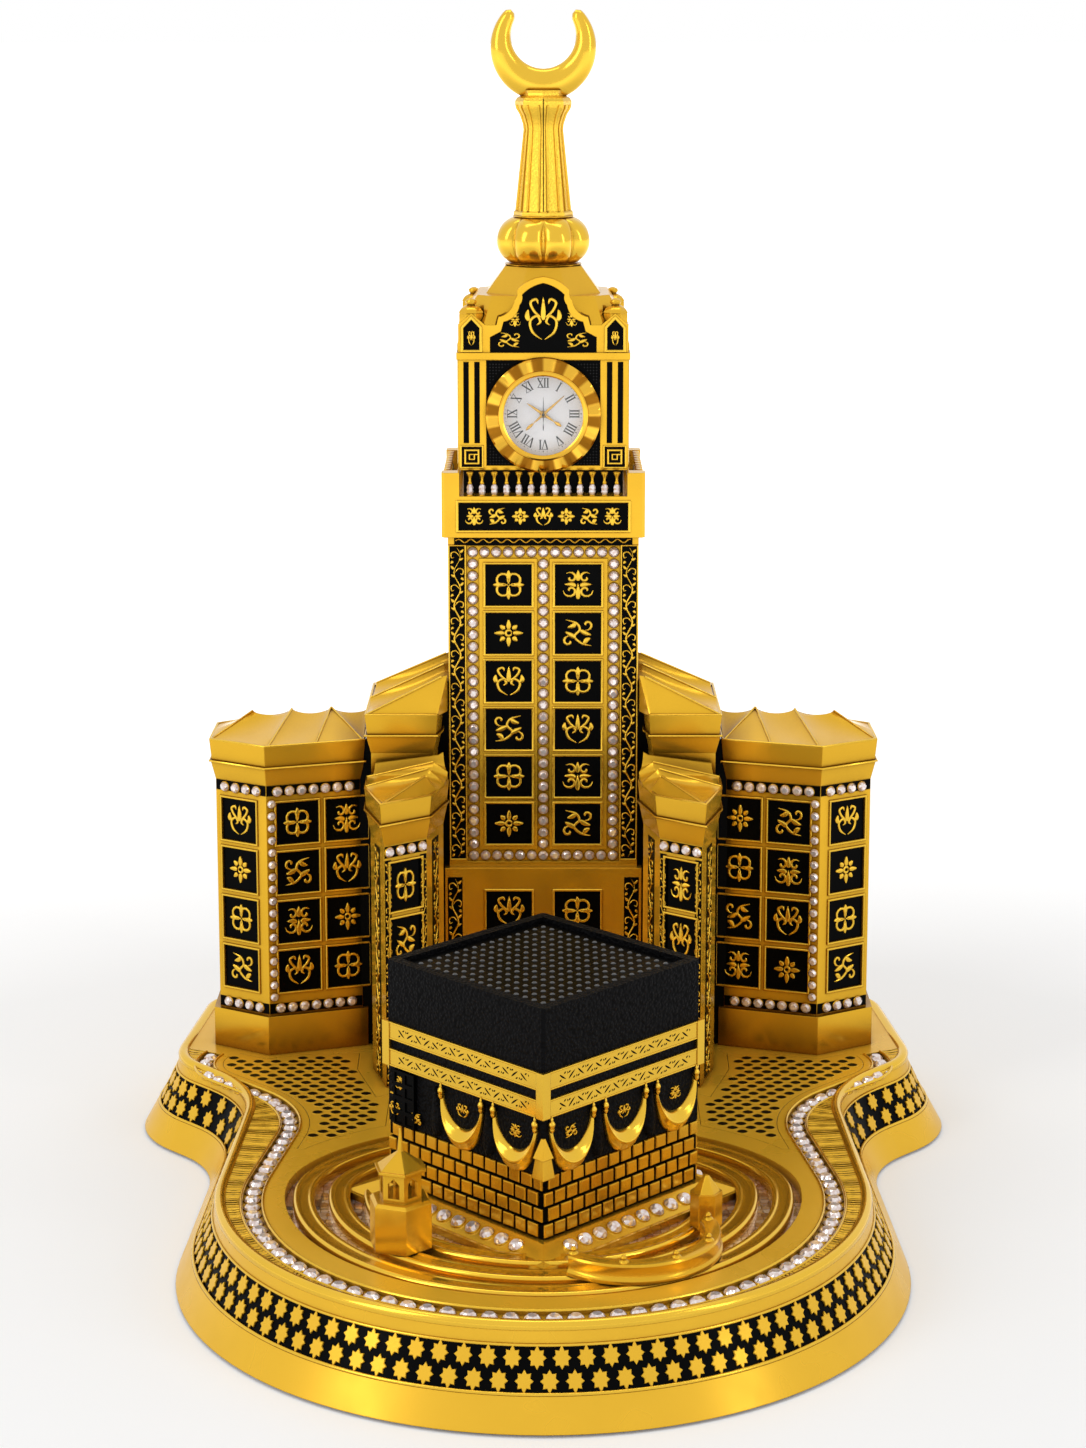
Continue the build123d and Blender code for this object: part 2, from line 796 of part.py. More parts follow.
# Swags: bay by bay, a crescent of folded cloth hung between two knobs
swag_pitch = cube_side / swag_bays
front_left = 0
with BuildPart() as cube_swags:
    for side in range(4):
        bays = range(swag_bays)
        if side == front_left:
            bays = range(1, swag_bays)
        with BuildSketch(cube_wall_plane(side)):
            for bay in bays:
                middle = (bay + 0.5) * swag_pitch - cube_half
                lower = [(middle + x * swag_width, swag_top - swag_drop * drop) for x, drop in swag_curve]
                upper = [(x, z + swag_fold * (swag_top - z) / swag_drop) for x, z in lower[1:-1]]
                add(polygon((*lower, *reversed(upper))))
        extrude(amount=swag_depth)
    for side in range(4):
        first = 1 if side == front_left else 0
        knobs = [bay * swag_pitch - cube_half for bay in range(first, swag_bays + 1)]
        knobs[0] += (swag_pitch - swag_width) / 2
        knobs[-1] -= (swag_pitch - swag_width) / 2
        with BuildSketch(cube_wall_plane(side)):
            with Locations(*[(x, swag_top + swag_knob_radius) for x in knobs]):
                RegularPolygon(radius=swag_knob_radius, side_count=6)
        extrude(amount=swag_depth)
    with BuildSketch(lantern_plane):
        add(cube_square(lantern_radius + panel_gap))
    extrude(amount=corner_lantern_height, mode=Mode.SUBTRACT)
cube_swags.part.label = "cube_swags"

# Door and small lantern on the front walls of the cube
with BuildPart() as cube_door:
    door_plane = cube_wall_plane(front_left)
    door_middle = (-door_offset, masonry_top + door_height / 2)
    with BuildSketch(door_plane):
        with Locations(door_middle):
            Rectangle(door_width, door_height)
    extrude(amount=door_depth)
    with BuildSketch(door_plane.offset(door_depth)):
        with Locations(door_middle):
            with GridLocations(door_width / 2, door_height / 4, 2, 4):
                Rectangle(door_width / 2 - 1.2, door_height / 4 - 1.2)
    extrude(amount=-door_depth / 3, mode=Mode.SUBTRACT)
cube_door.part.label = "cube_door"

with BuildPart() as corner_lantern:
    lantern_waist = masonry_top + corner_lantern_height / 2
    with Locations((0, -cube_half * 2 ** 0.5, 0)):
        add(sloped(cube_square(lantern_radius), masonry_top, lantern_waist, lantern_radius * 0.3))
        cap_half = lantern_radius * 0.9
        add(sloped(cube_square(cap_half), lantern_waist, masonry_top + corner_lantern_height, cap_half * 0.8))
    with BuildSketch(Plane.XY.offset(masonry_top)):
        add(cube_square(cube_half))
    extrude(amount=corner_lantern_height, mode=Mode.SUBTRACT)
corner_lantern.part.label = "corner_lantern"


def hexagon(centre, radius, turn=0.0):
    """Six-sided plan round a centre."""
    with BuildSketch() as shape:
        with Locations(centre):
            RegularPolygon(radius=radius, side_count=6, rotation=turn)
    return shape.sketch


# Kiosk: six-sided base, open lantern with six arches, pointed roof and finial
kiosk_stand_z = deck_top
kiosk_shoulder_z = kiosk_stand_z + kiosk_base_height
kiosk_eave_z = kiosk_shoulder_z + kiosk_lantern_height
kiosk_roof_z = kiosk_eave_z + kiosk_roof_height
with BuildPart() as kiosk:
    with BuildSketch(Plane.XY.offset(kiosk_stand_z)):
        add(hexagon(kiosk_centre, kiosk_radius, kiosk_turn))
    extrude(amount=kiosk_base_height - kiosk_edge)
    shoulder_plan = hexagon(kiosk_centre, kiosk_radius, kiosk_turn)
    add(sloped(shoulder_plan, kiosk_shoulder_z - kiosk_edge, kiosk_shoulder_z, kiosk_edge))
    with BuildSketch(Plane.XY.offset(kiosk_shoulder_z)):
        add(hexagon(kiosk_centre, kiosk_lantern_radius, kiosk_turn))
    extrude(amount=kiosk_lantern_height)
    with BuildSketch(Plane.XY.offset(kiosk_shoulder_z + kiosk_wall)):
        add(hexagon(kiosk_centre, kiosk_lantern_radius - kiosk_wall, kiosk_turn))
    extrude(amount=kiosk_lantern_height - 2 * kiosk_wall, mode=Mode.SUBTRACT)
    for side in range(3):
        facing = kiosk_turn + 30 + side * 60
        arch_plane = Plane(
            origin=(kiosk_centre[0], kiosk_centre[1], kiosk_shoulder_z + kiosk_wall),
            x_dir=(-sin(radians(facing)), cos(radians(facing)), 0),
            z_dir=(cos(radians(facing)), sin(radians(facing)), 0),
        )
        with BuildSketch(arch_plane):
            arch_rise = kiosk_lantern_height - 2 * kiosk_wall
            with BuildLine():
                Polyline(
                    (-kiosk_arch_width / 2, arch_rise - kiosk_arch_width / 2),
                    (-kiosk_arch_width / 2, 0),
                    (kiosk_arch_width / 2, 0),
                    (kiosk_arch_width / 2, arch_rise - kiosk_arch_width / 2),
                    (0, arch_rise),
                    close=True,
                )
            make_face()
        extrude(amount=kiosk_radius, both=True, mode=Mode.SUBTRACT)
    with BuildSketch(Plane.XY.offset(kiosk_eave_z)):
        add(hexagon(kiosk_centre, kiosk_eave_radius, kiosk_turn))
    extrude(amount=kiosk_edge)
    eave = hexagon(kiosk_centre, kiosk_eave_radius - kiosk_edge, kiosk_turn)
    roof_lean = (kiosk_eave_radius - kiosk_edge - kiosk_finial_radius) * cos(radians(30))
    add(sloped(eave, kiosk_eave_z + kiosk_edge, kiosk_roof_z, roof_lean))
    finial = hexagon(kiosk_centre, kiosk_finial_radius, kiosk_turn)
    add(sloped(finial, kiosk_roof_z, kiosk_roof_z + kiosk_finial_height, kiosk_finial_radius * 0.6))
kiosk.part.label = "kiosk"

# Low wall on an arc, with a chamfered top, and the kiosk at its far end
with BuildPart() as arc_wall:
    wall_stand = deck_top
    with BuildSketch(Plane.XY.offset(wall_stand)):
        with BuildLine() as wall_line:
            CenterArc(arc_wall_centre, arc_wall_radius - arc_wall_thickness / 2, arc_wall_start, arc_wall_sweep)
        trace(wall_line.line, line_width=arc_wall_thickness)
        add(hexagon(corner_kiosk_centre, corner_kiosk_radius + pit_clearance), mode=Mode.SUBTRACT)
        add(plinth_footprint, mode=Mode.SUBTRACT)
    extrude(amount=arc_wall_height)
arc_wall.part.label = "arc_wall"

with BuildPart() as corner_kiosk:
    with BuildSketch(Plane.XY.offset(deck_top)):
        add(hexagon(corner_kiosk_centre, corner_kiosk_radius))
    extrude(amount=corner_kiosk_height)
    corner_kiosk_eave = deck_top + corner_kiosk_height
    cap_plan = hexagon(corner_kiosk_centre, corner_kiosk_radius * 0.85)
    add(sloped(cap_plan, corner_kiosk_eave, corner_kiosk_eave + corner_kiosk_cap, corner_kiosk_radius * 0.6))
corner_kiosk.part.label = "corner_kiosk"

# Tower body: stepped foot and shaft in one casting, with seats for tiles and stones
tower_back_y = tower_front_y + tower_depth
tower_middle_y = tower_front_y + tower_depth / 2
foot_front_y = tower_front_y - foot_step
foot_plane = Plane(origin=(0, foot_front_y, 0), x_dir=(1, 0, 0), z_dir=(0, -1, 0))
shaft_plane = Plane(origin=(0, tower_front_y, 0), x_dir=(1, 0, 0), z_dir=(0, -1, 0))


def tile_centres(columns, top, height, pitch, rows):
    """Middles of a block of tiles, column by column, on a wall plane."""
    return [(x, top - height / 2 - row * pitch) for x in columns for row in range(rows)]


tower_columns = (-tower_tile_column_x, tower_tile_column_x)
shaft_tiles = tile_centres(tower_columns, tower_tile_top, tower_tile_height, tower_tile_pitch, tower_tile_rows)
foot_tiles = tile_centres(tower_columns, foot_tile_top, tower_tile_height, tower_tile_pitch, foot_tile_rows)
stone_seat_width = 2 * stone_radius + 0.4
with BuildPart() as tower_body:
    with BuildSketch(Plane.XY.offset(deck_top)):
        with Locations((0, (foot_front_y + tower_back_y) / 2)):
            Rectangle(2 * foot_half_width, tower_back_y - foot_front_y)
    extrude(amount=foot_top - deck_top)
    with BuildSketch(Plane.XY.offset(foot_top)):
        with Locations((0, tower_middle_y)):
            Rectangle(2 * shaft_half_width, tower_depth)
    extrude(amount=shaft_top - foot_top)
    for plane, centres in ((shaft_plane, shaft_tiles), (foot_plane, foot_tiles)):
        with BuildSketch(plane):
            with Locations(*centres):
                Rectangle(tower_tile_width, tower_tile_height)
        extrude(amount=-tile_depth, mode=Mode.SUBTRACT)
    with BuildSketch(shaft_plane):
        row_width = stone_column_x[2] - stone_column_x[0] + stone_seat_width
        column_height = stone_row_z[1] - stone_row_z[0] + stone_seat_width
        with Locations(*[(0, z) for z in stone_row_z]):
            Rectangle(row_width, stone_seat_width)
        with Locations(*[(x, (stone_row_z[0] + stone_row_z[1]) / 2) for x in stone_column_x]):
            Rectangle(stone_seat_width, column_height)
    extrude(amount=-stone_seat_depth, mode=Mode.SUBTRACT)
    side_panel_height = shaft_top - foot_top - 2 * side_panel_margin
    for x in (-shaft_half_width, shaft_half_width):
        side_origin = (x, tower_middle_y, foot_top + side_panel_margin)
        with BuildSketch(Plane(origin=side_origin, x_dir=(0, 1, 0), z_dir=(1, 0, 0))):
            Rectangle(side_panel_width, side_panel_height, align=(Align.CENTER, Align.MIN))
        extrude(amount=tile_depth, both=True, mode=Mode.SUBTRACT)
tower_body.part.label = "tower_body"

column_places = spread(stone_row_z[1] - stone_row_z[0], stone_pitch, 0)
row_places = spread(stone_column_x[2] - stone_column_x[0], stone_pitch, 0)
tower_stone_places = [(x, stone_row_z[0] + z) for x in stone_column_x for z in column_places]
tower_stone_places += [
    (stone_column_x[0] + x, z)
    for x in row_places[1:-1]
    for z in stone_row_z
    if abs(stone_column_x[0] + x) > stone_pitch / 2
]
with BuildPart() as tower_stones:
    add(stones_on(shaft_plane.offset(-stone_seat_depth), tower_stone_places))
tower_stones.part.label = "tower_stones"

# Balcony: slab with a sunk frieze panel, corner posts, and balusters between them
balcony_front_y = tower_front_y - balcony_reach
balcony_back_y = tower_back_y
balcony_depth = balcony_back_y - balcony_front_y
balcony_middle_y = (balcony_front_y + balcony_back_y) / 2
balcony_plane = Plane(origin=(0, balcony_front_y, 0), x_dir=(1, 0, 0), z_dir=(0, -1, 0))
post_x = balcony_half_width - balcony_post_width / 2
post_y = balcony_depth / 2 - balcony_post_width / 2
with BuildPart() as balcony:
    with BuildSketch(Plane.XY.offset(shaft_top)):
        with Locations((0, balcony_middle_y)):
            Rectangle(2 * balcony_half_width, balcony_depth)
    extrude(amount=balcony_slab_top - shaft_top)
    with BuildSketch(Plane.XY.offset(balcony_slab_top)):
        with Locations((0, balcony_middle_y)):
            with GridLocations(2 * post_x, 2 * post_y, 2, 2):
                Rectangle(balcony_post_width, balcony_post_width)
    extrude(amount=balcony_top - balcony_slab_top)
    chamfer(edges().filter_by(Axis.Z).group_by(SortBy.LENGTH)[-1], length=1.0)
    with BuildSketch(balcony_plane):
        with Locations((0, (frieze_bottom + frieze_top) / 2)):
            Rectangle(2 * frieze_half_width, frieze_top - frieze_bottom)
    extrude(amount=-frieze_depth, mode=Mode.SUBTRACT)
balcony.part.label = "balcony"

# Dark tiles of the shaft and foot, its two side panels, and the frieze panel
with BuildPart() as tower_tiles:
    for plane, centres in ((shaft_plane, shaft_tiles), (foot_plane, foot_tiles)):
        with BuildSketch(plane.offset(-tile_depth)):
            with Locations(*centres):
                Rectangle(tower_tile_width - 2 * tile_clearance, tower_tile_height - 2 * tile_clearance)
        extrude(amount=tile_depth / 2)
    for x, outward in ((-shaft_half_width, -1), (shaft_half_width, 1)):
        panel_origin = (x - outward * tile_depth, tower_middle_y, foot_top + side_panel_margin + tile_clearance)
        with BuildSketch(Plane(origin=panel_origin, x_dir=(0, outward, 0), z_dir=(outward, 0, 0))):
            panel_align = (Align.CENTER, Align.MIN)
            Rectangle(
                side_panel_width - 2 * tile_clearance, side_panel_height - 2 * tile_clearance, align=panel_align,
            )
        extrude(amount=tile_depth / 2)
    with BuildSketch(balcony_plane.offset(-frieze_depth)):
        with Locations((0, (frieze_bottom + frieze_top) / 2)):
            Rectangle(2 * (frieze_half_width - tile_clearance), frieze_top - frieze_bottom - 2 * tile_clearance)
    extrude(amount=frieze_depth / 2)
tower_tiles.part.label = "tower_tiles"

baluster_front = [
    (n * baluster_pitch, balcony_front_y + baluster_setback)
    for n in range(-(baluster_front_count // 2), baluster_front_count // 2 + 1)
]
baluster_side = [
    (side * (balcony_half_width - baluster_setback), balcony_middle_y + n * baluster_pitch)
    for side in (-1, 1)
    for n in range(-(baluster_side_count // 2), baluster_side_count // 2 + 1)
]
baluster_height = balcony_top - balcony_slab_top
with BuildPart() as balusters:
    with BuildSketch(Plane.XY.offset(balcony_slab_top)):
        with Locations(*baluster_front, *baluster_side):
            RegularPolygon(radius=baluster_radius, side_count=4, rotation=45)
    extrude(amount=baluster_height)
balusters.part.label = "balusters"

# Clock housing: walls, cornice, pilasters with slots, niches, and the arched gable
housing_front_y = tower_front_y + housing_setback
housing_middle_y = housing_front_y + housing_depth / 2
housing_plane = Plane(origin=(0, housing_front_y, 0), x_dir=(1, 0, 0), z_dir=(0, -1, 0))
pilaster_x = (clock_field_half + housing_half_width) / 2
slot_middle_z = (slot_bottom + slot_top) / 2
slot_places = [(side * pilaster_x + shift, slot_middle_z) for side in (-1, 1) for shift in (-slot_width, slot_width)]
cornice_top = cornice_bottom + cornice_height
field_width = 2 * clock_field_half - 0.8
field_height = cornice_bottom - balcony_top - 1.6


def gables(grow=0.0):
    """Small gables over the two niches."""
    with BuildPart() as prisms:
        with BuildSketch(housing_plane):
            with Locations(*[(side * pilaster_x, eave_top) for side in (-1, 1)]):
                Triangle(a=2 * niche_half_width, b=gable_slope, c=gable_slope, align=(Align.CENTER, Align.MIN))
                if grow:
                    offset(amount=grow, kind=Kind.INTERSECTION)
        extrude(amount=-gable_depth - grow)
    return prisms.part


def arch_outline(grow):
    """Cusped ogee arch standing on the cornice, right half mirrored, grown by grow."""
    with BuildSketch() as outline:
        with BuildLine():
            foot = (arch_foot[0] + grow, cornice_top)
            shoulder = (arch_foot[0] + grow, cornice_top + arch_foot[1] + grow / 2)
            step, lower_cusp, upper_cusp, neck = [(x + grow, cornice_top + z + grow) for x, z in arch_knots]
            tip = (0, cornice_top + arch_height + arch_tip_growth * grow)
            Polyline((0, cornice_top), foot, shoulder, step, lower_cusp)
            RadiusArc(lower_cusp, upper_cusp, arch_lobe_radius)
            RadiusArc(upper_cusp, neck, arch_cusp_radius)
            RadiusArc(neck, tip, -arch_ogee_radius)
            mirror(about=Plane.YZ)
        make_face()
    return outline.sketch


with BuildPart() as clock_housing:
    with BuildSketch(Plane.XY.offset(balcony_slab_top)):
        with Locations((0, housing_middle_y)):
            Rectangle(2 * (housing_half_width - baluster_setback), housing_depth - 2 * baluster_setback)
    extrude(amount=balcony_top - balcony_slab_top)
    with BuildSketch(Plane.XY.offset(balcony_top)):
        with Locations((0, housing_middle_y)):
            Rectangle(2 * housing_half_width, housing_depth)
    extrude(amount=eave_top - balcony_top)
    with BuildSketch(Plane.XY.offset(cornice_bottom)):
        with Locations((0, housing_middle_y)):
            Rectangle(2 * (housing_half_width + cornice_overhang), housing_depth + 2 * cornice_overhang)
    extrude(amount=cornice_height)
    with BuildSketch(housing_plane):
        add(arch_outline(arch_frame_width))
    extrude(amount=-arch_thickness)
    add(gables())
    with BuildSketch(housing_plane):
        add(arch_outline(0))
    extrude(amount=-arch_panel_depth, mode=Mode.SUBTRACT)
    with BuildSketch(housing_plane):
        with Locations(*slot_places):
            Rectangle(slot_width, slot_top - slot_bottom)
        with Locations(*[(side * pilaster_x, meander_bottom + meander_side / 2) for side in (-1, 1)]):
            Rectangle(meander_side, meander_side)
            Rectangle(meander_core, meander_core, mode=Mode.SUBTRACT)
        with Locations(*[(side * pilaster_x, (cornice_top + eave_top + niche_sill) / 2) for side in (-1, 1)]):
            Rectangle(niche_width, eave_top - cornice_top - niche_sill)
        with Locations((0, (balcony_top + cornice_bottom) / 2 + field_lift)):
            Rectangle(field_width, field_height)
    extrude(amount=-slot_depth, mode=Mode.SUBTRACT)
    with BuildSketch(housing_plane):
        with Locations((0, clock_centre_z)):
            Circle(insert_bore_radius)
    extrude(amount=-insert_bore_depth, mode=Mode.SUBTRACT)
    with BuildSketch(housing_plane):
        with Locations((0, clock_centre_z)):
            Circle(bezel_radius + tile_clearance)
    extrude(amount=2 * cornice_overhang, mode=Mode.SUBTRACT)
clock_housing.part.label = "clock_housing"

# Dark panels of the clock head: the arch, and the four corners round the bezel
field_middle_z = (balcony_top + cornice_bottom) / 2 + field_lift
with BuildPart() as head_panels:
    with BuildSketch(housing_plane.offset(-arch_panel_depth)):
        add(arch_outline(-tile_clearance))
    extrude(amount=arch_panel_depth / 2)
    with BuildSketch(housing_plane.offset(-slot_depth)):
        with Locations((0, field_middle_z)):
            Rectangle(field_width - 2 * tile_clearance, field_height - 2 * tile_clearance)
        with Locations((0, clock_centre_z)):
            Circle(bezel_radius - tile_clearance, mode=Mode.SUBTRACT)
    extrude(amount=slot_depth / 2)
head_panels.part.label = "head_panels"

turret_stand_z = eave_top
turret_x = housing_half_width - turret_radius
turret_y = housing_depth / 2 - turret_radius


def small_octagon(place, radius):
    """Eight-sided plan of a corner turret."""
    with BuildSketch() as shape:
        with Locations(place):
            RegularPolygon(radius=radius, side_count=8, rotation=22.5)
    return shape.sketch


with BuildPart() as corner_turrets:
    corner = (turret_x, housing_middle_y + turret_y)
    body_z, neck_z, lip_z, top_z = [
        turret_stand_z + rise
        for rise in (turret_body_height, turret_neck_height, turret_lip_height, turret_height)
    ]
    with BuildSketch(Plane.XY.offset(turret_stand_z)):
        add(small_octagon(corner, turret_radius))
    extrude(amount=body_z - turret_stand_z)
    add(sloped(small_octagon(corner, turret_radius), body_z, neck_z, turret_radius - turret_neck_radius))
    with BuildSketch(Plane.XY.offset(neck_z)):
        add(small_octagon(corner, turret_lip_radius))
    extrude(amount=lip_z - neck_z)
    add(sloped(small_octagon(corner, turret_lip_radius), lip_z, top_z, turret_lip_radius - turret_tip_radius))
    mirror(about=Plane.YZ)
    mirror(about=Plane.XZ.offset(-housing_middle_y))
    add(gables(tile_clearance), mode=Mode.SUBTRACT)
corner_turrets.part.label = "corner_turrets"


def octagon(half_width, centre_y):
    """Eight-sided plan by its half width, centred on the tower."""
    with BuildSketch() as shape:
        with Locations((0, centre_y)):
            RegularPolygon(radius=half_width, side_count=8, major_radius=False, rotation=22.5)
    return shape.sketch


def clipped_square(half_x, half_y, corner, centre_y):
    """Rectangle with cut corners, an octagon that can be nearly square."""
    with BuildSketch() as shape:
        with Locations((0, centre_y)):
            Rectangle(2 * half_x, 2 * half_y)
            chamfer(vertices(), length=corner)
    return shape.sketch


# Roof: skirt from the square walls to an octagon, then a steeper cone
spire_y = housing_middle_y
with BuildPart() as tower_roof:
    eave_plan = clipped_square(housing_half_width, housing_depth / 2, 2 * turret_radius, spire_y)
    add(sloped(eave_plan, eave_top, skirt_top, housing_half_width - skirt_half_width))
    add(sloped(octagon(cone_half_width, spire_y), skirt_top, cone_top, cone_half_width - cone_top_radius))
    for x in (-turret_x, turret_x):
        for y in (spire_y - turret_y, spire_y + turret_y):
            with BuildSketch(Plane.XY.offset(eave_top)):
                add(small_octagon((x, y), turret_radius + pit_clearance))
            extrude(amount=turret_height, mode=Mode.SUBTRACT)
    with BuildSketch(housing_plane):
        add(arch_outline(arch_frame_width + pit_clearance))
    extrude(amount=-arch_thickness - pit_clearance, mode=Mode.SUBTRACT)
    add(gables(tile_clearance), mode=Mode.SUBTRACT)
tower_roof.part.label = "tower_roof"


def lobed_outline(radius):
    """Star of notches between the lobes of the bulb."""
    points = []
    for n in range(2 * bulb_lobes):
        reach = radius if n % 2 == 0 else radius * lobe_notch
        x, y = polar(reach, n * 180 / bulb_lobes)
        points.append((x, y + spire_y))
    return polygon(points)


with BuildPart() as spire_bulb:
    waist_lean = (bulb_radius - bulb_waist_radius) * bulb_tip_share
    add(sloped(lobed_outline(bulb_radius), bulb_mid_z, cone_top, waist_lean))
    bulb_shoulder_z = (bulb_mid_z + bulb_top_z) / 2
    shoulder_lean = (bulb_radius - bulb_shoulder_radius) * bulb_tip_share
    add(sloped(lobed_outline(bulb_radius), bulb_mid_z, bulb_shoulder_z, shoulder_lean))
    top_lean = (bulb_shoulder_radius - bulb_neck_radius) * bulb_tip_share
    add(sloped(lobed_outline(bulb_shoulder_radius), bulb_shoulder_z, bulb_top_z, top_lean))
spire_bulb.part.label = "spire_bulb"

with BuildPart() as spire_shaft:
    flat = cos(radians(22.5))
    shaft_lean = (bulb_neck_radius - spire_neck_radius) * flat
    collar_plan = octagon(collar_radius * flat, spire_y)
    add(sloped(octagon(bulb_neck_radius * flat, spire_y), bulb_top_z, spire_neck_z, shaft_lean))
    add(sloped(collar_plan, collar_z, spire_neck_z, (collar_radius - spire_neck_radius) * flat))
    add(sloped(collar_plan, collar_z, collar_top_z, (collar_radius - collar_top_radius) * flat))
    crescent_seat = crescent_centre_z - crescent_radius
    with BuildSketch(Plane.XY.offset(crescent_seat)):
        with Locations((0, spire_y)):
            Rectangle(2 * collar_radius, crescent_thickness + 2 * panel_gap)
    extrude(amount=collar_top_z - crescent_seat, mode=Mode.SUBTRACT)
spire_shaft.part.label = "spire_shaft"

# Crescent: an outer and an inner run of flats that meet in two upturned points
crescent_plane = Plane(origin=(0, spire_y, 0), x_dir=(1, 0, 0), z_dir=(0, -1, 0))
crescent_right = [polar(crescent_radius, angle) for angle in range(-90, 31, 15)]
crescent_right = [(x, z + crescent_centre_z) for x, z in crescent_right] + [(crescent_tip_x, crescent_tip_z)]
hollow_right = [polar(crescent_hollow_radius, angle) for angle in range(20, -91, -22)]
hollow_right = [(x, z + crescent_hollow_z) for x, z in hollow_right]
crescent_side = crescent_right[1:] + hollow_right
with BuildPart() as crescent:
    with BuildSketch(crescent_plane):
        add(polygon((
            (0, crescent_centre_z - crescent_radius),
            *crescent_side,
            (0, crescent_hollow_z - crescent_hollow_radius),
            *[(-x, z) for x, z in reversed(crescent_side)],
        )))
    extrude(amount=crescent_thickness / 2, both=True)
    chamfer(faces().filter_by(Axis.Y).edges(), length=crescent_edge)
crescent.part.label = "crescent"


def cap_and_base(plan, base_top, body_top, cap_levels):
    """Wing casting without its roof: foot block, set-back body and a two-step cap."""
    with BuildPart() as wing:
        if base_top > deck_top:
            with BuildSketch(Plane.XY.offset(deck_top)):
                add(polygon(plan))
            extrude(amount=base_top - deck_top)
        with BuildSketch(Plane.XY.offset(base_top)):
            add(inset_polygon(plan, wing_body_inset))
        extrude(amount=body_top - base_top)
        add(sloped(inset_polygon(plan, cap_groove), cap_levels[0], body_top, cap_taper_inset))
        add(sloped(polygon(plan), cap_levels[1], cap_levels[0], 2 * cap_groove))
    return wing.part


def folded_roof(plan, plane, start, width, heights, run, rise):
    """Roof of flat folds, drawn out along a sloping line and cut to the cap below it."""
    step = width / (len(heights) - 1)
    ridge = [(start + n * step, height) for n, height in enumerate(heights)]
    inward = plane.z_dir * -run
    with BuildPart() as roof:
        with BuildSketch(plane):
            add(polygon(((start, -roof_seat - rise), (start + width, -roof_seat - rise), *reversed(ridge))))
        extrude(amount=hypot(run, rise), dir=(inward.X, inward.Y, rise))
        with BuildSketch(Plane.XY.offset(plane.origin.Z)):
            add(inset_polygon(plan, cap_groove))
        extrude(amount=roof_room, mode=Mode.INTERSECT)
    return roof.part


def hip(plane, rise):
    """Sloping plane that rises inwards from an edge, for cutting the end of a roof."""
    inward = plane.z_dir * -1
    return Plane(origin=plane.origin + (0, 0, roof_edge), z_dir=(-inward.X * rise, -inward.Y * rise, 1))


def wall_tiles(plane, starts, width, top, tile_height, pitch):
    """Places of a block of tiles on a wall, by the left edges of its columns."""
    return tile_centres([start + width / 2 for start in starts], top, tile_height, pitch, wing_tile_rows)


def body_walls(plan, count):
    """Planes on the first walls of a set-back body, with their lengths."""
    corners = [vertex.center() for vertex in inset_polygon(plan, wing_body_inset).vertices()]
    walls = []
    for start, end in list(zip(plan, plan[1:]))[:count]:
        first = min(corners, key=lambda corner: hypot(corner.X - start[0], corner.Y - start[1]))
        last = min(corners, key=lambda corner: hypot(corner.X - end[0], corner.Y - end[1]))
        ends = ((first.X, first.Y), (last.X, last.Y))
        walls.append((wall_plane(*ends), wall_length(*ends)))
    return walls


# Walls of the viewer's left wings that carry tiles and stones
outer_side_wall, outer_front_wall = body_walls(outer_wing_plan, 2)
inner_front_wall = body_walls(inner_wing_plan, 1)[0]
outer_front_tiles = wall_tiles(
    outer_front_wall[0], outer_front_tile_starts, outer_front_tile_width,
    outer_tile_top, outer_tile_height, outer_tile_pitch,
)
outer_side_tiles = wall_tiles(
    outer_side_wall[0], (outer_side_tile_start,), outer_side_tile_width,
    outer_tile_top, outer_tile_height, outer_tile_pitch,
)
inner_start = (inner_front_wall[1] - inner_tile_width) / 2
inner_tiles = wall_tiles(
    inner_front_wall[0], (inner_start,), inner_tile_width,
    inner_tile_top, inner_tile_height, inner_tile_pitch,
)
tile_blocks = (
    (outer_front_wall[0], outer_front_tiles, outer_front_tile_width, outer_tile_height),
    (outer_side_wall[0], outer_side_tiles, outer_side_tile_width, outer_tile_height),
    (inner_front_wall[0], inner_tiles, inner_tile_width, inner_tile_height),
)

# Outer wing: roof like a row of tents, low along both long edges
outer_ridge = [outer_roof_valley, outer_roof_peak] * outer_roof_peaks + [outer_roof_valley]
outer_roof_plane = wall_plane(outer_wing_plan[1], outer_wing_plan[2], outer_cap_levels[1])
outer_end_plane = wall_plane(outer_wing_plan[5], outer_wing_plan[0], outer_cap_levels[1])
outer_rear_plane = wall_plane(outer_wing_plan[3], outer_wing_plan[4], outer_cap_levels[1])
with BuildPart() as outer_roof:
    add(folded_roof(
        outer_wing_plan, outer_roof_plane, outer_roof_start, outer_roof_width, outer_ridge, outer_roof_depth, 0,
    ))
    for plane in (outer_roof_plane, outer_end_plane, outer_rear_plane):
        split(bisect_by=hip(plane, outer_hip_rise), keep=Keep.BOTTOM)
with BuildPart() as outer_wing_left:
    add(cap_and_base(outer_wing_plan, outer_base_top, outer_body_top, outer_cap_levels))
    add(outer_roof.part)
    for plane, centres, width, height in tile_blocks[:2]:
        with BuildSketch(plane):
            with Locations(*centres):
                Rectangle(width, height)
        extrude(amount=-tile_depth, mode=Mode.SUBTRACT)

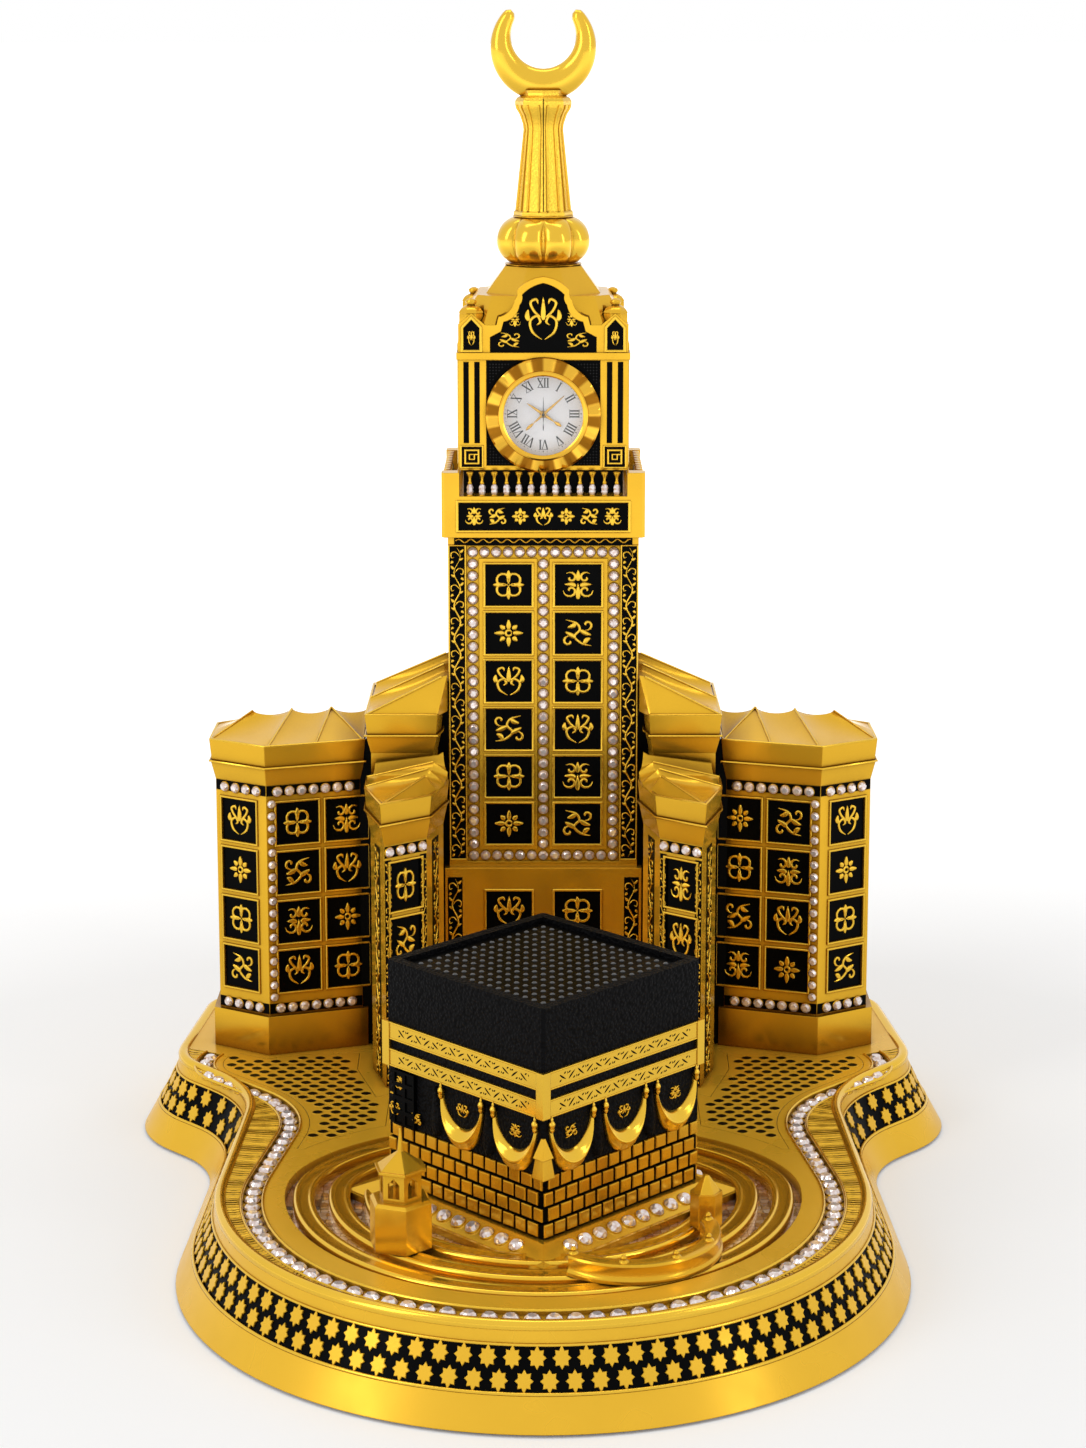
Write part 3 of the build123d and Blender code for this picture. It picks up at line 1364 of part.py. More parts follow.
# Inner wing: low folds that climb towards the tower; heights from back to front
inner_side, inner_back = inner_wing_plan[4]
inner_front_y = inner_wing_plan[0][1]
inner_roof_plane = wall_plane((inner_side, inner_back), (inner_side, inner_front_y), inner_cap_levels[1])
inner_front_plane = wall_plane(inner_wing_plan[0], inner_wing_plan[1], inner_cap_levels[1])
with BuildPart() as inner_roof:
    add(folded_roof(
        inner_wing_plan, inner_roof_plane, 0, inner_back - inner_front_y, inner_roof_heights,
        inner_wing_plan[2][0] - inner_side, inner_roof_rise,
    ))
    split(bisect_by=hip(inner_front_plane, inner_hip_rise), keep=Keep.BOTTOM)
with BuildPart() as inner_wing_left:
    add(cap_and_base(inner_wing_plan, deck_top, inner_body_top, inner_cap_levels))
    add(inner_roof.part)
    inner_plane, inner_centres, inner_width, inner_height = tile_blocks[2]
    with BuildSketch(inner_plane):
        with Locations(*inner_centres):
            Rectangle(inner_width, inner_height)
    extrude(amount=-tile_depth, mode=Mode.SUBTRACT)

# Mid wing: the tallest, with folds that climb to the tower
mid_side, mid_back = mid_wing_plan[4]
mid_roof_plane = wall_plane((mid_side, mid_back), mid_wing_plan[0], mid_cap_levels[1])
mid_front_plane = wall_plane(mid_wing_plan[0], mid_wing_plan[1], mid_cap_levels[1])
with BuildPart() as mid_roof:
    add(folded_roof(
        mid_wing_plan, mid_roof_plane, 0, mid_back - mid_wing_plan[0][1], mid_roof_heights,
        mid_wing_plan[2][0] - mid_side, mid_roof_rise,
    ))
    for plane in (mid_front_plane, mid_roof_plane):
        split(bisect_by=hip(plane, mid_hip_rise), keep=Keep.BOTTOM)
with BuildPart() as mid_wing_left:
    add(cap_and_base(mid_wing_plan, deck_top, mid_body_top, mid_cap_levels))
    add(mid_roof.part)

outer_wing_left.part.label = "outer_wing_left"
inner_wing_left.part.label = "inner_wing_left"
mid_wing_left.part.label = "mid_wing_left"
with BuildPart() as outer_wing_right:
    mirror(outer_wing_left.part, about=Plane.YZ)
outer_wing_right.part.label = "outer_wing_right"
with BuildPart() as inner_wing_right:
    mirror(inner_wing_left.part, about=Plane.YZ)
inner_wing_right.part.label = "inner_wing_right"
with BuildPart() as mid_wing_right:
    mirror(mid_wing_left.part, about=Plane.YZ)
mid_wing_right.part.label = "mid_wing_right"

with BuildPart() as wing_tiles:
    for plane, centres, width, height in tile_blocks:
        with BuildSketch(plane.offset(-tile_depth)):
            with Locations(*centres):
                Rectangle(width - 2 * tile_clearance, height - 2 * tile_clearance)
        extrude(amount=tile_depth / 2)
    mirror(about=Plane.YZ)
wing_tiles.part.label = "wing_tiles"

# Wing stones: a row below each cap, a row above the foot, a column at the corner
low_row_z = outer_base_top + stone_radius + 0.4
high_row_z = outer_body_top - stone_radius - 0.4
inner_row_z = inner_body_top - stone_radius - 0.4
with BuildPart() as wing_stones:
    for plane, length in (outer_front_wall, outer_side_wall):
        stations = spread(length, stone_pitch, 2 * stone_radius)
        places = [(at, z) for at in stations for z in (low_row_z, high_row_z)]
        with BuildSketch(plane):
            with Locations(*places):
                RegularPolygon(radius=stone_radius, side_count=4)
        extrude(amount=stone_height)
    with BuildSketch(inner_front_wall[0]):
        with Locations(*[(at, inner_row_z) for at in spread(inner_front_wall[1], stone_pitch, stone_radius)]):
            RegularPolygon(radius=stone_radius, side_count=4)
    extrude(amount=stone_height)
    with BuildSketch(outer_front_wall[0]):
        column = spread(high_row_z - low_row_z, stone_pitch * 1.05, stone_pitch)
        with Locations(*[(stone_radius * 0.9, low_row_z + z) for z in column]):
            RegularPolygon(radius=stone_radius * 0.85, side_count=4)
    extrude(amount=stone_height)
    mirror(about=Plane.YZ)
wing_stones.part.label = "wing_stones"


# Push-in clock. Depths run back from the face of the housing, places are (x, z).
def insert_plane(depth):
    """Plane across the clock at a depth, facing the viewer."""
    return Plane(origin=(0, housing_front_y + depth, clock_centre_z), x_dir=(1, 0, 0), z_dir=(0, -1, 0))


def bar(place, radius, start, end, sides=12):
    """Straight bar from one depth to another."""
    with BuildPart() as piece:
        with BuildSketch(insert_plane(start)):
            with Locations(place):
                RegularPolygon(radius=radius, side_count=sides)
        extrude(amount=start - end)
    return piece.part


def arbor(place, radius, start, end):
    """Round arbor from one depth to another."""
    with BuildPart() as piece:
        with BuildSketch(insert_plane(start)):
            with Locations(place):
                Circle(radius)
        extrude(amount=start - end)
    return piece.part


def disc(radius, start, end, place=(0, 0)):
    """Disc with 48 flats from one depth to another."""
    return bar(place, radius, start, end, 2 * bezel_flutes)


def gear(place, teeth, module, turn, start, thickness):
    """Toothed wheel with one tooth at the angle turn."""
    pitch_radius = teeth * module / 2
    root = pitch_radius - tooth_dedendum * module
    tip = pitch_radius + tooth_addendum * module - mesh_clearance
    step = 360 / teeth
    points = []
    for n in range(teeth):
        middle = turn + n * step
        for reach, angle in ((root, -tooth_root_share), (tip, 0), (root, tooth_root_share)):
            x, z = polar(reach, middle + angle * step)
            points.append((place[0] + x, place[1] + z))
    with BuildPart() as piece:
        with BuildSketch(insert_plane(start)):
            add(polygon(points))
        extrude(amount=-thickness)
    return piece.part


def beyond(place, distance, bearing):
    """Place at a distance and a bearing from another place."""
    x, z = polar(distance, bearing)
    return (place[0] + x, place[1] + z)


centre = (0.0, 0.0)
motion_module = 2 * motion_distance / (cannon_teeth + minute_wheel_teeth)
third_module = 2 * train_distance / (seconds_pinion_teeth + third_wheel_teeth)
centre_module = 2 * train_distance / (third_pinion_teeth + centre_wheel_teeth)
seconds_module = 2 * fifth_distance / (fifth_pinion_teeth + seconds_wheel_teeth)
rotor_module = 2 * rotor_distance / (rotor_pinion_teeth + fifth_wheel_teeth)
minute_wheel_place = beyond(centre, motion_distance, motion_bearing)
setting_place = beyond(minute_wheel_place, motion_distance, motion_bearing)
third_place = beyond(centre, train_distance, third_bearing)
fifth_place = beyond(centre, fifth_distance, fifth_bearing)
rotor_place = beyond(fifth_place, rotor_distance, rotor_bearing)
front_plate_back = front_plate_front + front_plate_thickness
back_plate_back = back_plate_front + back_plate_thickness
plate_radius = insert_radius - case_wall - 3 * running_clearance
cell_front = case_depth - cell_thickness - 0.2

with BuildPart() as clock_case:
    with BuildSketch(insert_plane(0)):
        Circle(insert_radius)
    extrude(amount=-case_depth)
    add(disc(insert_radius - case_wall, 0, case_depth - case_wall), mode=Mode.SUBTRACT)
    add(disc(cell_radius + tile_clearance, 0, case_depth, cell_place), mode=Mode.SUBTRACT)
    add(bar(setting_place, stem_radius + tile_clearance, 0, case_depth), mode=Mode.SUBTRACT)
clock_case.part.label = "clock_case"

# Bezel: fluted slope, a lip over the lens, and a spigot that holds the dial down
with BuildPart() as clock_bezel:
    add(disc(bezel_radius, -bezel_land, 0))
    with BuildSketch(mode=Mode.PRIVATE) as flute_plan:
        RegularPolygon(radius=bezel_radius, side_count=2 * bezel_flutes)
    slope = sloped(flute_plan.sketch, bezel_land, bezel_height, bezel_radius - bezel_inner_radius)
    add(insert_plane(0).location * slope)
    add(disc(plate_radius, 0, dial_front))
    add(disc(bezel_sight_radius, -bezel_height, 0), mode=Mode.SUBTRACT)
    add(disc(lens_radius, lens_front, dial_front), mode=Mode.SUBTRACT)
clock_bezel.part.label = "clock_bezel"

with BuildPart() as clock_lens:
    add(disc(lens_radius, lens_front, lens_front + lens_thickness))
clock_lens.part.label = "clock_lens"

with BuildPart() as dial:
    add(disc(dial_radius, dial_front, dial_front + dial_thickness))
    add(bar(centre, hour_pipe_radius + 2 * running_clearance, 0, front_plate_front), mode=Mode.SUBTRACT)
dial.part.label = "dial"


def hand(reach, tail, width, angle, depth, hub_radius):
    """Hand with a leaf-shaped blade, a tapered tail and a round hub."""
    blade = [
        (-width / 3, 0),
        (-width / 2, reach * 0.6),
        (0, reach),
        (width / 2, reach * 0.6),
        (width / 3, 0),
        (width / 2, -tail),
        (-width / 2, -tail),
    ]
    with BuildPart() as piece:
        with BuildSketch(insert_plane(depth)):
            with BuildSketch(mode=Mode.PRIVATE) as outline:
                add(polygon(list(reversed(blade))))
                RegularPolygon(radius=hub_radius, side_count=12)
            add(outline.sketch, rotation=-angle)
        extrude(amount=-hand_thickness)
    return piece.part


with BuildPart() as hour_hand:
    add(hand(hour_reach, hour_tail, hour_width, hour_angle, hour_hand_depth, hour_hub_radius))
    add(bar(centre, hour_pipe_radius, 0, front_plate_front), mode=Mode.SUBTRACT)
hour_hand.part.label = "hour_hand"
with BuildPart() as minute_hand:
    add(hand(minute_reach, minute_tail, minute_width, minute_angle, minute_hand_depth, minute_hub_radius))
    add(bar(centre, minute_pipe_radius, 0, front_plate_front), mode=Mode.SUBTRACT)
minute_hand.part.label = "minute_hand"
with BuildPart() as second_hand:
    add(hand(second_reach, second_tail, second_width, second_angle, second_hand_depth, second_hub_radius))
    add(bar(centre, second_arbor_radius, 0, front_plate_front), mode=Mode.SUBTRACT)
second_hand.part.label = "second_hand"

# Movement plates: the front one has a rim that carries the dial, and three pillars
with BuildPart() as front_plate:
    add(disc(plate_radius, dial_front + dial_thickness, front_plate_back))
    add(disc(rim_inner_radius, dial_front, front_plate_front), mode=Mode.SUBTRACT)
    for bearing in pillar_bearings:
        add(bar(polar(pillar_distance, bearing), pillar_radius, front_plate_back, back_plate_front))
    add(bar(centre, minute_pipe_radius + running_clearance, 0, back_plate_front), mode=Mode.SUBTRACT)
    for place in (minute_wheel_place, third_place, fifth_place, rotor_place):
        add(bar(place, pivot_radius + running_clearance, 0, back_plate_front), mode=Mode.SUBTRACT)
    add(bar(setting_place, stem_radius + tile_clearance, 0, back_plate_front), mode=Mode.SUBTRACT)
front_plate.part.label = "front_plate"

with BuildPart() as back_plate:
    add(disc(plate_radius, back_plate_front, back_plate_back))
    for place in (centre, third_place, fifth_place, rotor_place):
        add(bar(place, pivot_radius + running_clearance, 0, case_depth), mode=Mode.SUBTRACT)
    add(bar(setting_place, stem_radius + tile_clearance, 0, case_depth), mode=Mode.SUBTRACT)
    add(disc(cell_radius + tile_clearance, 0, case_depth, cell_place), mode=Mode.SUBTRACT)
back_plate.part.label = "back_plate"

# Motion work in front of the plate: minutes to hours by two pairs of wheels
motion_pinion_start = minute_wheel_depth - (pinion_thickness - wheel_thickness) / 2
hour_pinion_start = hour_wheel_depth - (pinion_thickness - wheel_thickness) / 2
inward_bearing = motion_bearing + 180
with BuildPart() as cannon_pinion:
    add(bar(centre, minute_pipe_radius, minute_hand_depth, centre_wheel_depth + wheel_thickness))
    add(gear(centre, cannon_teeth, motion_module, motion_bearing, motion_pinion_start, pinion_thickness))
    add(bar(centre, second_arbor_radius + running_clearance, 0, back_plate_front), mode=Mode.SUBTRACT)
cannon_pinion.part.label = "cannon_pinion"

with BuildPart() as minute_wheel:
    half_gap = 180 / minute_wheel_teeth
    add(gear(
        minute_wheel_place, minute_wheel_teeth, motion_module, inward_bearing + half_gap,
        minute_wheel_depth, wheel_thickness,
    ))
    add(gear(
        minute_wheel_place, minute_wheel_pinion_teeth, motion_module, inward_bearing,
        hour_pinion_start, pinion_thickness,
    ))
    add(arbor(minute_wheel_place, pivot_radius, hour_pinion_start, front_plate_back))
minute_wheel.part.label = "minute_wheel"

with BuildPart() as hour_wheel:
    half_gap = 180 / hour_wheel_teeth
    add(gear(centre, hour_wheel_teeth, motion_module, motion_bearing + half_gap, hour_wheel_depth, wheel_thickness))
    add(bar(centre, hour_pipe_radius, hour_hand_depth, hour_wheel_depth + wheel_thickness))
    add(bar(centre, minute_pipe_radius + running_clearance, 0, front_plate_front), mode=Mode.SUBTRACT)
hour_wheel.part.label = "hour_wheel"

with BuildPart() as set_knob:
    add(gear(setting_place, setting_teeth, motion_module, inward_bearing, motion_pinion_start, pinion_thickness))
    add(arbor(setting_place, stem_radius, motion_pinion_start, case_depth + tile_clearance))
    knob_start = case_depth + tile_clearance
    add(bar(setting_place, knob_radius, knob_start, knob_start + knob_height, 24))
set_knob.part.label = "set_knob"

# Going train between the plates: rotor, fifth wheel, seconds wheel, third wheel, centre wheel
third_pinion_start = centre_wheel_depth - (pinion_thickness - wheel_thickness) / 2
seconds_pinion_start = third_wheel_depth - (pinion_thickness - wheel_thickness) / 2
fifth_pinion_start = seconds_wheel_depth - (pinion_thickness - wheel_thickness) / 2
rotor_pinion_start = fifth_wheel_depth - (pinion_thickness - wheel_thickness) / 2
with BuildPart() as centre_wheel:
    half_gap = 180 / centre_wheel_teeth
    centre_turn = third_bearing + half_gap
    add(gear(centre, centre_wheel_teeth, centre_module, centre_turn, centre_wheel_depth, wheel_thickness))
    add(bar(centre, minute_pipe_radius + running_clearance, 0, back_plate_front), mode=Mode.SUBTRACT)
centre_wheel.part.label = "centre_wheel"

with BuildPart() as third_wheel:
    half_gap = 180 / third_wheel_teeth
    pinion_turn = third_bearing + 180
    add(gear(third_place, third_wheel_teeth, third_module, pinion_turn + half_gap, third_wheel_depth, wheel_thickness))
    add(gear(third_place, third_pinion_teeth, centre_module, pinion_turn, third_pinion_start, pinion_thickness))
    add(arbor(third_place, pivot_radius, front_plate_front, back_plate_back))
third_wheel.part.label = "third_wheel"

with BuildPart() as seconds_wheel:
    add(gear(centre, seconds_wheel_teeth, seconds_module, fifth_bearing, seconds_wheel_depth, wheel_thickness))
    add(gear(centre, seconds_pinion_teeth, third_module, third_bearing, seconds_pinion_start, pinion_thickness))
    add(bar(centre, second_arbor_radius, second_hand_depth, seconds_pinion_start))
    add(arbor(centre, pivot_radius, seconds_pinion_start, back_plate_back))
seconds_wheel.part.label = "seconds_wheel"

with BuildPart() as fifth_wheel:
    half_gap = 180 / fifth_pinion_teeth
    add(gear(fifth_place, fifth_wheel_teeth, rotor_module, rotor_bearing, fifth_wheel_depth, wheel_thickness))
    add(gear(
        fifth_place, fifth_pinion_teeth, seconds_module, fifth_bearing + 180 + half_gap,
        fifth_pinion_start, pinion_thickness,
    ))
    add(arbor(fifth_place, pivot_radius, front_plate_front, back_plate_back))
fifth_wheel.part.label = "fifth_wheel"

with BuildPart() as rotor:
    half_gap = 180 / rotor_pinion_teeth
    add(gear(
        rotor_place, rotor_pinion_teeth, rotor_module, rotor_bearing + 180 + half_gap,
        rotor_pinion_start, pinion_thickness,
    ))
    add(bar(rotor_place, rotor_magnet_radius, rotor_magnet_front, rotor_magnet_front + rotor_magnet_length, 16))
    add(arbor(rotor_place, pivot_radius, front_plate_front, back_plate_back))
rotor.part.label = "rotor"

# Stator: a flat frame round the magnet, its far side run through the coil
with BuildPart() as stator_coil:
    with BuildSketch(insert_plane(stator_depth)):
        with Locations(rotor_place):
            RegularPolygon(radius=stator_ring_radius, side_count=16)
        coil_x, coil_z = coil_place
        stator_reach = stator_ring_radius - stator_width / 2
        for end, reach in ((1, stator_reach), (-1, -stator_reach)):
            with BuildLine() as arm:
                Line((rotor_place[0], rotor_place[1] + reach), (coil_x, coil_z + end * coil_length / 2))
            trace(arm.line, line_width=stator_width)
        with BuildLine() as core:
            Line((coil_x, coil_z - coil_length / 2), (coil_x, coil_z + coil_length / 2))
        trace(core.line, line_width=stator_width)
        with Locations(rotor_place):
            RegularPolygon(radius=rotor_magnet_radius + 0.3, side_count=16, mode=Mode.SUBTRACT)
    extrude(amount=-stator_thickness)
    with BuildSketch(Plane.XY.offset(clock_centre_z + coil_z - coil_length / 2 + stator_width)):
        with Locations((coil_x, housing_front_y + stator_depth + stator_thickness / 2)):
            RegularPolygon(radius=coil_radius, side_count=12, rotation=15)
    extrude(amount=coil_length - 2 * stator_width)
stator_coil.part.label = "stator_coil"

with BuildPart() as cell:
    add(disc(cell_radius, cell_front, cell_front + cell_thickness, cell_place))
cell.part.label = "cell"

pieces = (
    base_body, inlay_band, bottom_plate, plate_screws, base_pad, court_floor, court_rings, deck_panels,
    court_stones, cube_plinth, cube_masonry, cube_cover, cube_roof_panel, cube_belts, cube_swags, cube_door,
    corner_lantern, kiosk, arc_wall, corner_kiosk, tower_body, tower_tiles, tower_stones, balcony, balusters,
    clock_housing, head_panels, corner_turrets, tower_roof, spire_bulb, spire_shaft, crescent,
    outer_wing_left, outer_wing_right, mid_wing_left, mid_wing_right, inner_wing_left, inner_wing_right,
    wing_tiles, wing_stones, clock_case, clock_bezel, clock_lens, dial, hour_hand, minute_hand, second_hand,
    front_plate, back_plate, cannon_pinion, minute_wheel, hour_wheel, set_knob, centre_wheel, third_wheel,
    seconds_wheel, fifth_wheel, rotor, stator_coil, cell,
)
for piece in pieces:
    export_step(piece.part, "parts/" + piece.part.label + ".step")
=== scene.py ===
"""Looks of the decorative clock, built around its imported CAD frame.

Sizes are in millimetres until a mesh is made, and the axes are those of the CAD:
X to the right, Y to the back, Z up, with the origin under the middle of the court.
"""

import random
from math import cos, hypot, pi, radians, sin, sqrt

import bmesh
import bpy
from mathutils import Matrix, Vector


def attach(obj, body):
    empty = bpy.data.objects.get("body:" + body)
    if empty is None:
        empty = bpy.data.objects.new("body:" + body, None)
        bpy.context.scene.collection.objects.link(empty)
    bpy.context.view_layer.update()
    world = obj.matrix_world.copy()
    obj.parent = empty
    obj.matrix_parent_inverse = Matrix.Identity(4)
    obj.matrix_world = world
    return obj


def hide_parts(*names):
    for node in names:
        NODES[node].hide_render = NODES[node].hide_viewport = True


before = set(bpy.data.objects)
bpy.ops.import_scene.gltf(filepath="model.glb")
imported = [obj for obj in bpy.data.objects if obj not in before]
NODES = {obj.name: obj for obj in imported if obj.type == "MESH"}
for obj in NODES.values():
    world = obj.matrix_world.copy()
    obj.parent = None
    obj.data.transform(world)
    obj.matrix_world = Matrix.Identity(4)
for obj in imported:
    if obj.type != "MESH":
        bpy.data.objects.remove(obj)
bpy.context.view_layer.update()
SCENE = bpy.context.scene

MM = 0.001
DECK = 25.0  # top of the base
AXIS_Y = 150.0  # middle of the tower, the head and the spire
TOWER_FRONT = 124.0
FOOT_FRONT = 121.8  # the tower's front behind the cube
HOUSING_FRONT = 126.0
CLOCK_CENTRE = 228.4
PLEATS = 14
UP = Vector((0, 0, 1))
HERE = Matrix.Identity(4)
BOTH_SIDES = (HERE, Matrix.Diagonal((-1, 1, 1, 1)))


# Shader nodes

def join(tree, node, inputs):
    """Links inputs of a node to sockets, or sets them to plain values."""
    for key, value in inputs.items():
        if isinstance(value, bpy.types.NodeSocket):
            tree.links.new(value, node.inputs[key])
        else:
            node.inputs[key].default_value = value


def add_node(tree, kind, inputs=None, **settings):
    """Adds a shader node with its fields set and its inputs joined."""
    node = tree.nodes.new("ShaderNode" + kind)
    for key, value in settings.items():
        setattr(node, key, value)
    join(tree, node, inputs or {})
    return node


def mix_colour(tree, factor, first, second):
    """The colour between two colours."""
    return add_node(tree, "Mix", {0: factor, 6: first, 7: second}, data_type="RGBA").outputs[2]


def map_range(tree, value, low, high, to_low, to_high):
    """A value moved from one range to another and held inside it."""
    ranges = {"Value": value, "From Min": low, "From Max": high, "To Min": to_low, "To Max": to_high}
    return add_node(tree, "MapRange", ranges).outputs["Result"]


def maths(tree, operation, *values):
    """The result of one sum."""
    return add_node(tree, "Math", dict(enumerate(values)), operation=operation).outputs[0]


def length_of(tree, vector):
    """The length of a vector."""
    return add_node(tree, "VectorMath", {0: vector}, operation="LENGTH").outputs["Value"]


def object_place(tree):
    """The place on the object, in metres."""
    return add_node(tree, "TexCoord").outputs["Object"]


def bump(tree, height, distance, strength, **base):
    """The normal of a surface with fine relief on it."""
    inputs = {"Height": height, "Distance": distance, "Strength": strength, **base}
    return add_node(tree, "Bump", inputs).outputs["Normal"]


def new_group(name, inputs, outputs):
    """A node group of plain numbers, with its entry and its exit."""
    group = bpy.data.node_groups.new(name, "ShaderNodeTree")
    for label, value in inputs.items():
        socket = group.interface.new_socket(label, in_out="INPUT", socket_type="NodeSocketFloat")
        socket.default_value = value
    for label in outputs:
        group.interface.new_socket(label, in_out="OUTPUT", socket_type="NodeSocketFloat")
    return group, group.nodes.new("NodeGroupInput"), group.nodes.new("NodeGroupOutput")


def make_plate_shade_and_grain():
    """Shade painted into the corners of a casting from ambient occlusion, and the slow waves and fine grain
    of its surface.
    """
    group, entry, leave = new_group(
        "plate_shade_and_grain", {"Corner": 0.003, "Closed": 0.15, "Open": 0.85, "Wave": 60.0, "Grain": 900.0},
        ("PaintedShade", "Wave", "Grain"))
    given = entry.outputs
    corner = add_node(group, "AmbientOcclusion", {"Distance": given["Corner"]}, samples=6)
    # Painted shade: the occlusion of corners and hollows becomes a mask that darkens the base colour.
    painted_shade = map_range(group, corner.outputs["AO"], given["Closed"], given["Open"], 1.0, 0.0)
    join(group, leave, {"PaintedShade": painted_shade})
    place = object_place(group)
    for label, detail in (("Wave", 2.0), ("Grain", 3.0)):
        noise = add_node(group, "TexNoise", {"Vector": place, "Scale": given[label], "Detail": detail})
        join(group, leave, {label: noise.outputs["Fac"]})
    return group


def make_leather_grain():
    """Pebbled grain, as a height and a mask of its creases, where shade is painted."""
    group, entry, leave = new_group("leather_grain", {"Scale": 900.0}, ("Height", "PaintedCreaseShade"))
    place = object_place(group)
    bend = add_node(group, "TexNoise", {"Vector": place, "Scale": 400.0, "Detail": 2.0})
    bent = add_node(group, "Mix", {0: 0.0006, 4: place, 5: bend.outputs["Color"]}, data_type="VECTOR")
    cells = add_node(group, "TexVoronoi", {"Vector": bent.outputs[1], "Scale": entry.outputs["Scale"]},
                     feature="SMOOTH_F1").outputs["Distance"]
    join(group, leave, {"Height": map_range(group, cells, 0.1, 0.7, 1.0, 0.0),
                        "PaintedCreaseShade": map_range(group, cells, 0.45, 0.75, 0.0, 1.0)})
    return group


PLATE_SHADE_AND_GRAIN = make_plate_shade_and_grain()
LEATHER_GRAIN = make_leather_grain()


# Materials

def new_material(name):
    """A material, its tree and its Principled shader."""
    material = bpy.data.materials.new(name)
    material.use_nodes = True
    tree = material.node_tree
    return material, tree, tree.nodes["Principled BSDF"]


def plated_metal(name, colour, deep, roughness, metallic=0.88, corner=0.0025, closed=0.15, opened=0.85,
                 grain=900.0, grain_height=0.00001):
    """Plated and polished metal, with shade painted darker into its corners, and softened edges."""
    material, tree, shader = new_material(name)
    settings = {"Corner": corner, "Closed": closed, "Open": opened, "Grain": grain}
    shade_and_grain = add_node(tree, "Group", settings, node_tree=PLATE_SHADE_AND_GRAIN).outputs
    tint = mix_colour(tree, shade_and_grain["Wave"], colour, [c * 0.86 for c in colour[:3]] + [1])
    edge = add_node(tree, "Bevel", {"Radius": 0.0003}, samples=4)
    join(tree, shader, {
        # Painted shade: the base colour goes over to the deep colour in corners and hollows.
        "Base Color": mix_colour(tree, shade_and_grain["PaintedShade"], tint, deep),
        "Roughness": map_range(tree, shade_and_grain["Wave"], 0.3, 0.7, roughness * 0.8, roughness * 1.25),
        "Metallic": metallic,
        "Specular IOR Level": 0.15,
        "Normal": bump(tree, shade_and_grain["Grain"], grain_height, 0.6, Normal=edge.outputs["Normal"])})
    return material


def enamel(name, colour, worn, roughness, shine=0.4):
    """Hard glossy enamel with a faint orange-peel surface."""
    material, tree, shader = new_material(name)
    shade_and_grain = add_node(tree, "Group", {"Grain": 500.0}, node_tree=PLATE_SHADE_AND_GRAIN).outputs
    join(tree, shader, {
        "Base Color": mix_colour(tree, shade_and_grain["Wave"], colour, worn),
        "Roughness": map_range(tree, shade_and_grain["Grain"], 0.3, 0.7, roughness, roughness * 1.5),
        "Specular IOR Level": shine,
        "Normal": bump(tree, shade_and_grain["Grain"], 0.00002, 0.4)})
    return material


def grained_black(name, scale, height, colour):
    """Dark cloth with a pebbled grain, painted lighter on its pebbles and darker in its creases: painted
    highlight and shade.
    """
    material, tree, shader = new_material(name)
    grain = add_node(tree, "Group", {"Scale": scale}, node_tree=LEATHER_GRAIN).outputs
    # Painted highlight on the pebbles and painted shade in the creases of the grain.
    light = [c * 2.6 for c in colour[:3]] + [1]
    join(tree, shader, {
        "Base Color": mix_colour(tree, grain["PaintedCreaseShade"], light, colour),
        "Roughness": map_range(tree, grain["Height"], 0.0, 1.0, 0.62, 0.42),
        "Specular IOR Level": 0.045,
        "Normal": bump(tree, grain["Height"], height, 0.9)})
    return material


def cut_stone():
    """Foil-backed cut stone, its colour painted bright in spots with a faint warm tint between them that
    varies from place to place: painted glints.
    """
    material, tree, shader = new_material("cut_stone")
    cells = add_node(tree, "TexVoronoi", {"Vector": object_place(tree), "Scale": 1100.0})
    painted_glint = cells.outputs["Distance"]
    join(tree, shader, {
        # Painted glints: white in the middle of each cell, warm at its edge.
        "Base Color": mix_colour(tree, painted_glint, (0.98, 0.95, 0.94, 1), (0.62, 0.45, 0.40, 1)),
        "Roughness": map_range(tree, painted_glint, 0.0, 1.0, 0.03, 0.12),
        "Metallic": 0.55,
        "Specular IOR Level": 0.9})
    return material


def mirror_mosaic():
    """Small mirror tiles, pinkish and silver, in a gold bed."""
    material, tree, shader = new_material("mirror_mosaic")
    cells = {"Vector": object_place(tree), "Scale": 420.0, "Randomness": 0.35}
    tiles = add_node(tree, "TexVoronoi", cells)
    edges = add_node(tree, "TexVoronoi", cells, feature="DISTANCE_TO_EDGE")
    shade = add_node(tree, "SeparateColor", {"Color": tiles.outputs["Color"]}).outputs
    tint = mix_colour(tree, shade["Red"], (0.55, 0.36, 0.28, 1), (0.92, 0.82, 0.78, 1))
    bed = map_range(tree, edges.outputs["Distance"], 0.02, 0.07, 0.0, 1.0)
    join(tree, shader, {
        "Base Color": mix_colour(tree, bed, (0.3, 0.14, 0.01, 1), tint),
        "Roughness": map_range(tree, shade["Green"], 0.0, 1.0, 0.05, 0.3),
        "Metallic": 0.85})
    return material


def clear_lens():
    """Thin clear glass, with a faint haze on it."""
    material, tree, shader = new_material("clear_lens")
    shade_and_grain = add_node(tree, "Group", node_tree=PLATE_SHADE_AND_GRAIN).outputs
    join(tree, shader, {
        "Base Color": (0.9, 0.93, 0.95, 1),
        "Alpha": map_range(tree, shade_and_grain["Wave"], 0.2, 0.8, 0.04, 0.08),
        "Roughness": map_range(tree, shade_and_grain["Grain"], 0.2, 0.8, 0.02, 0.05)})
    return material


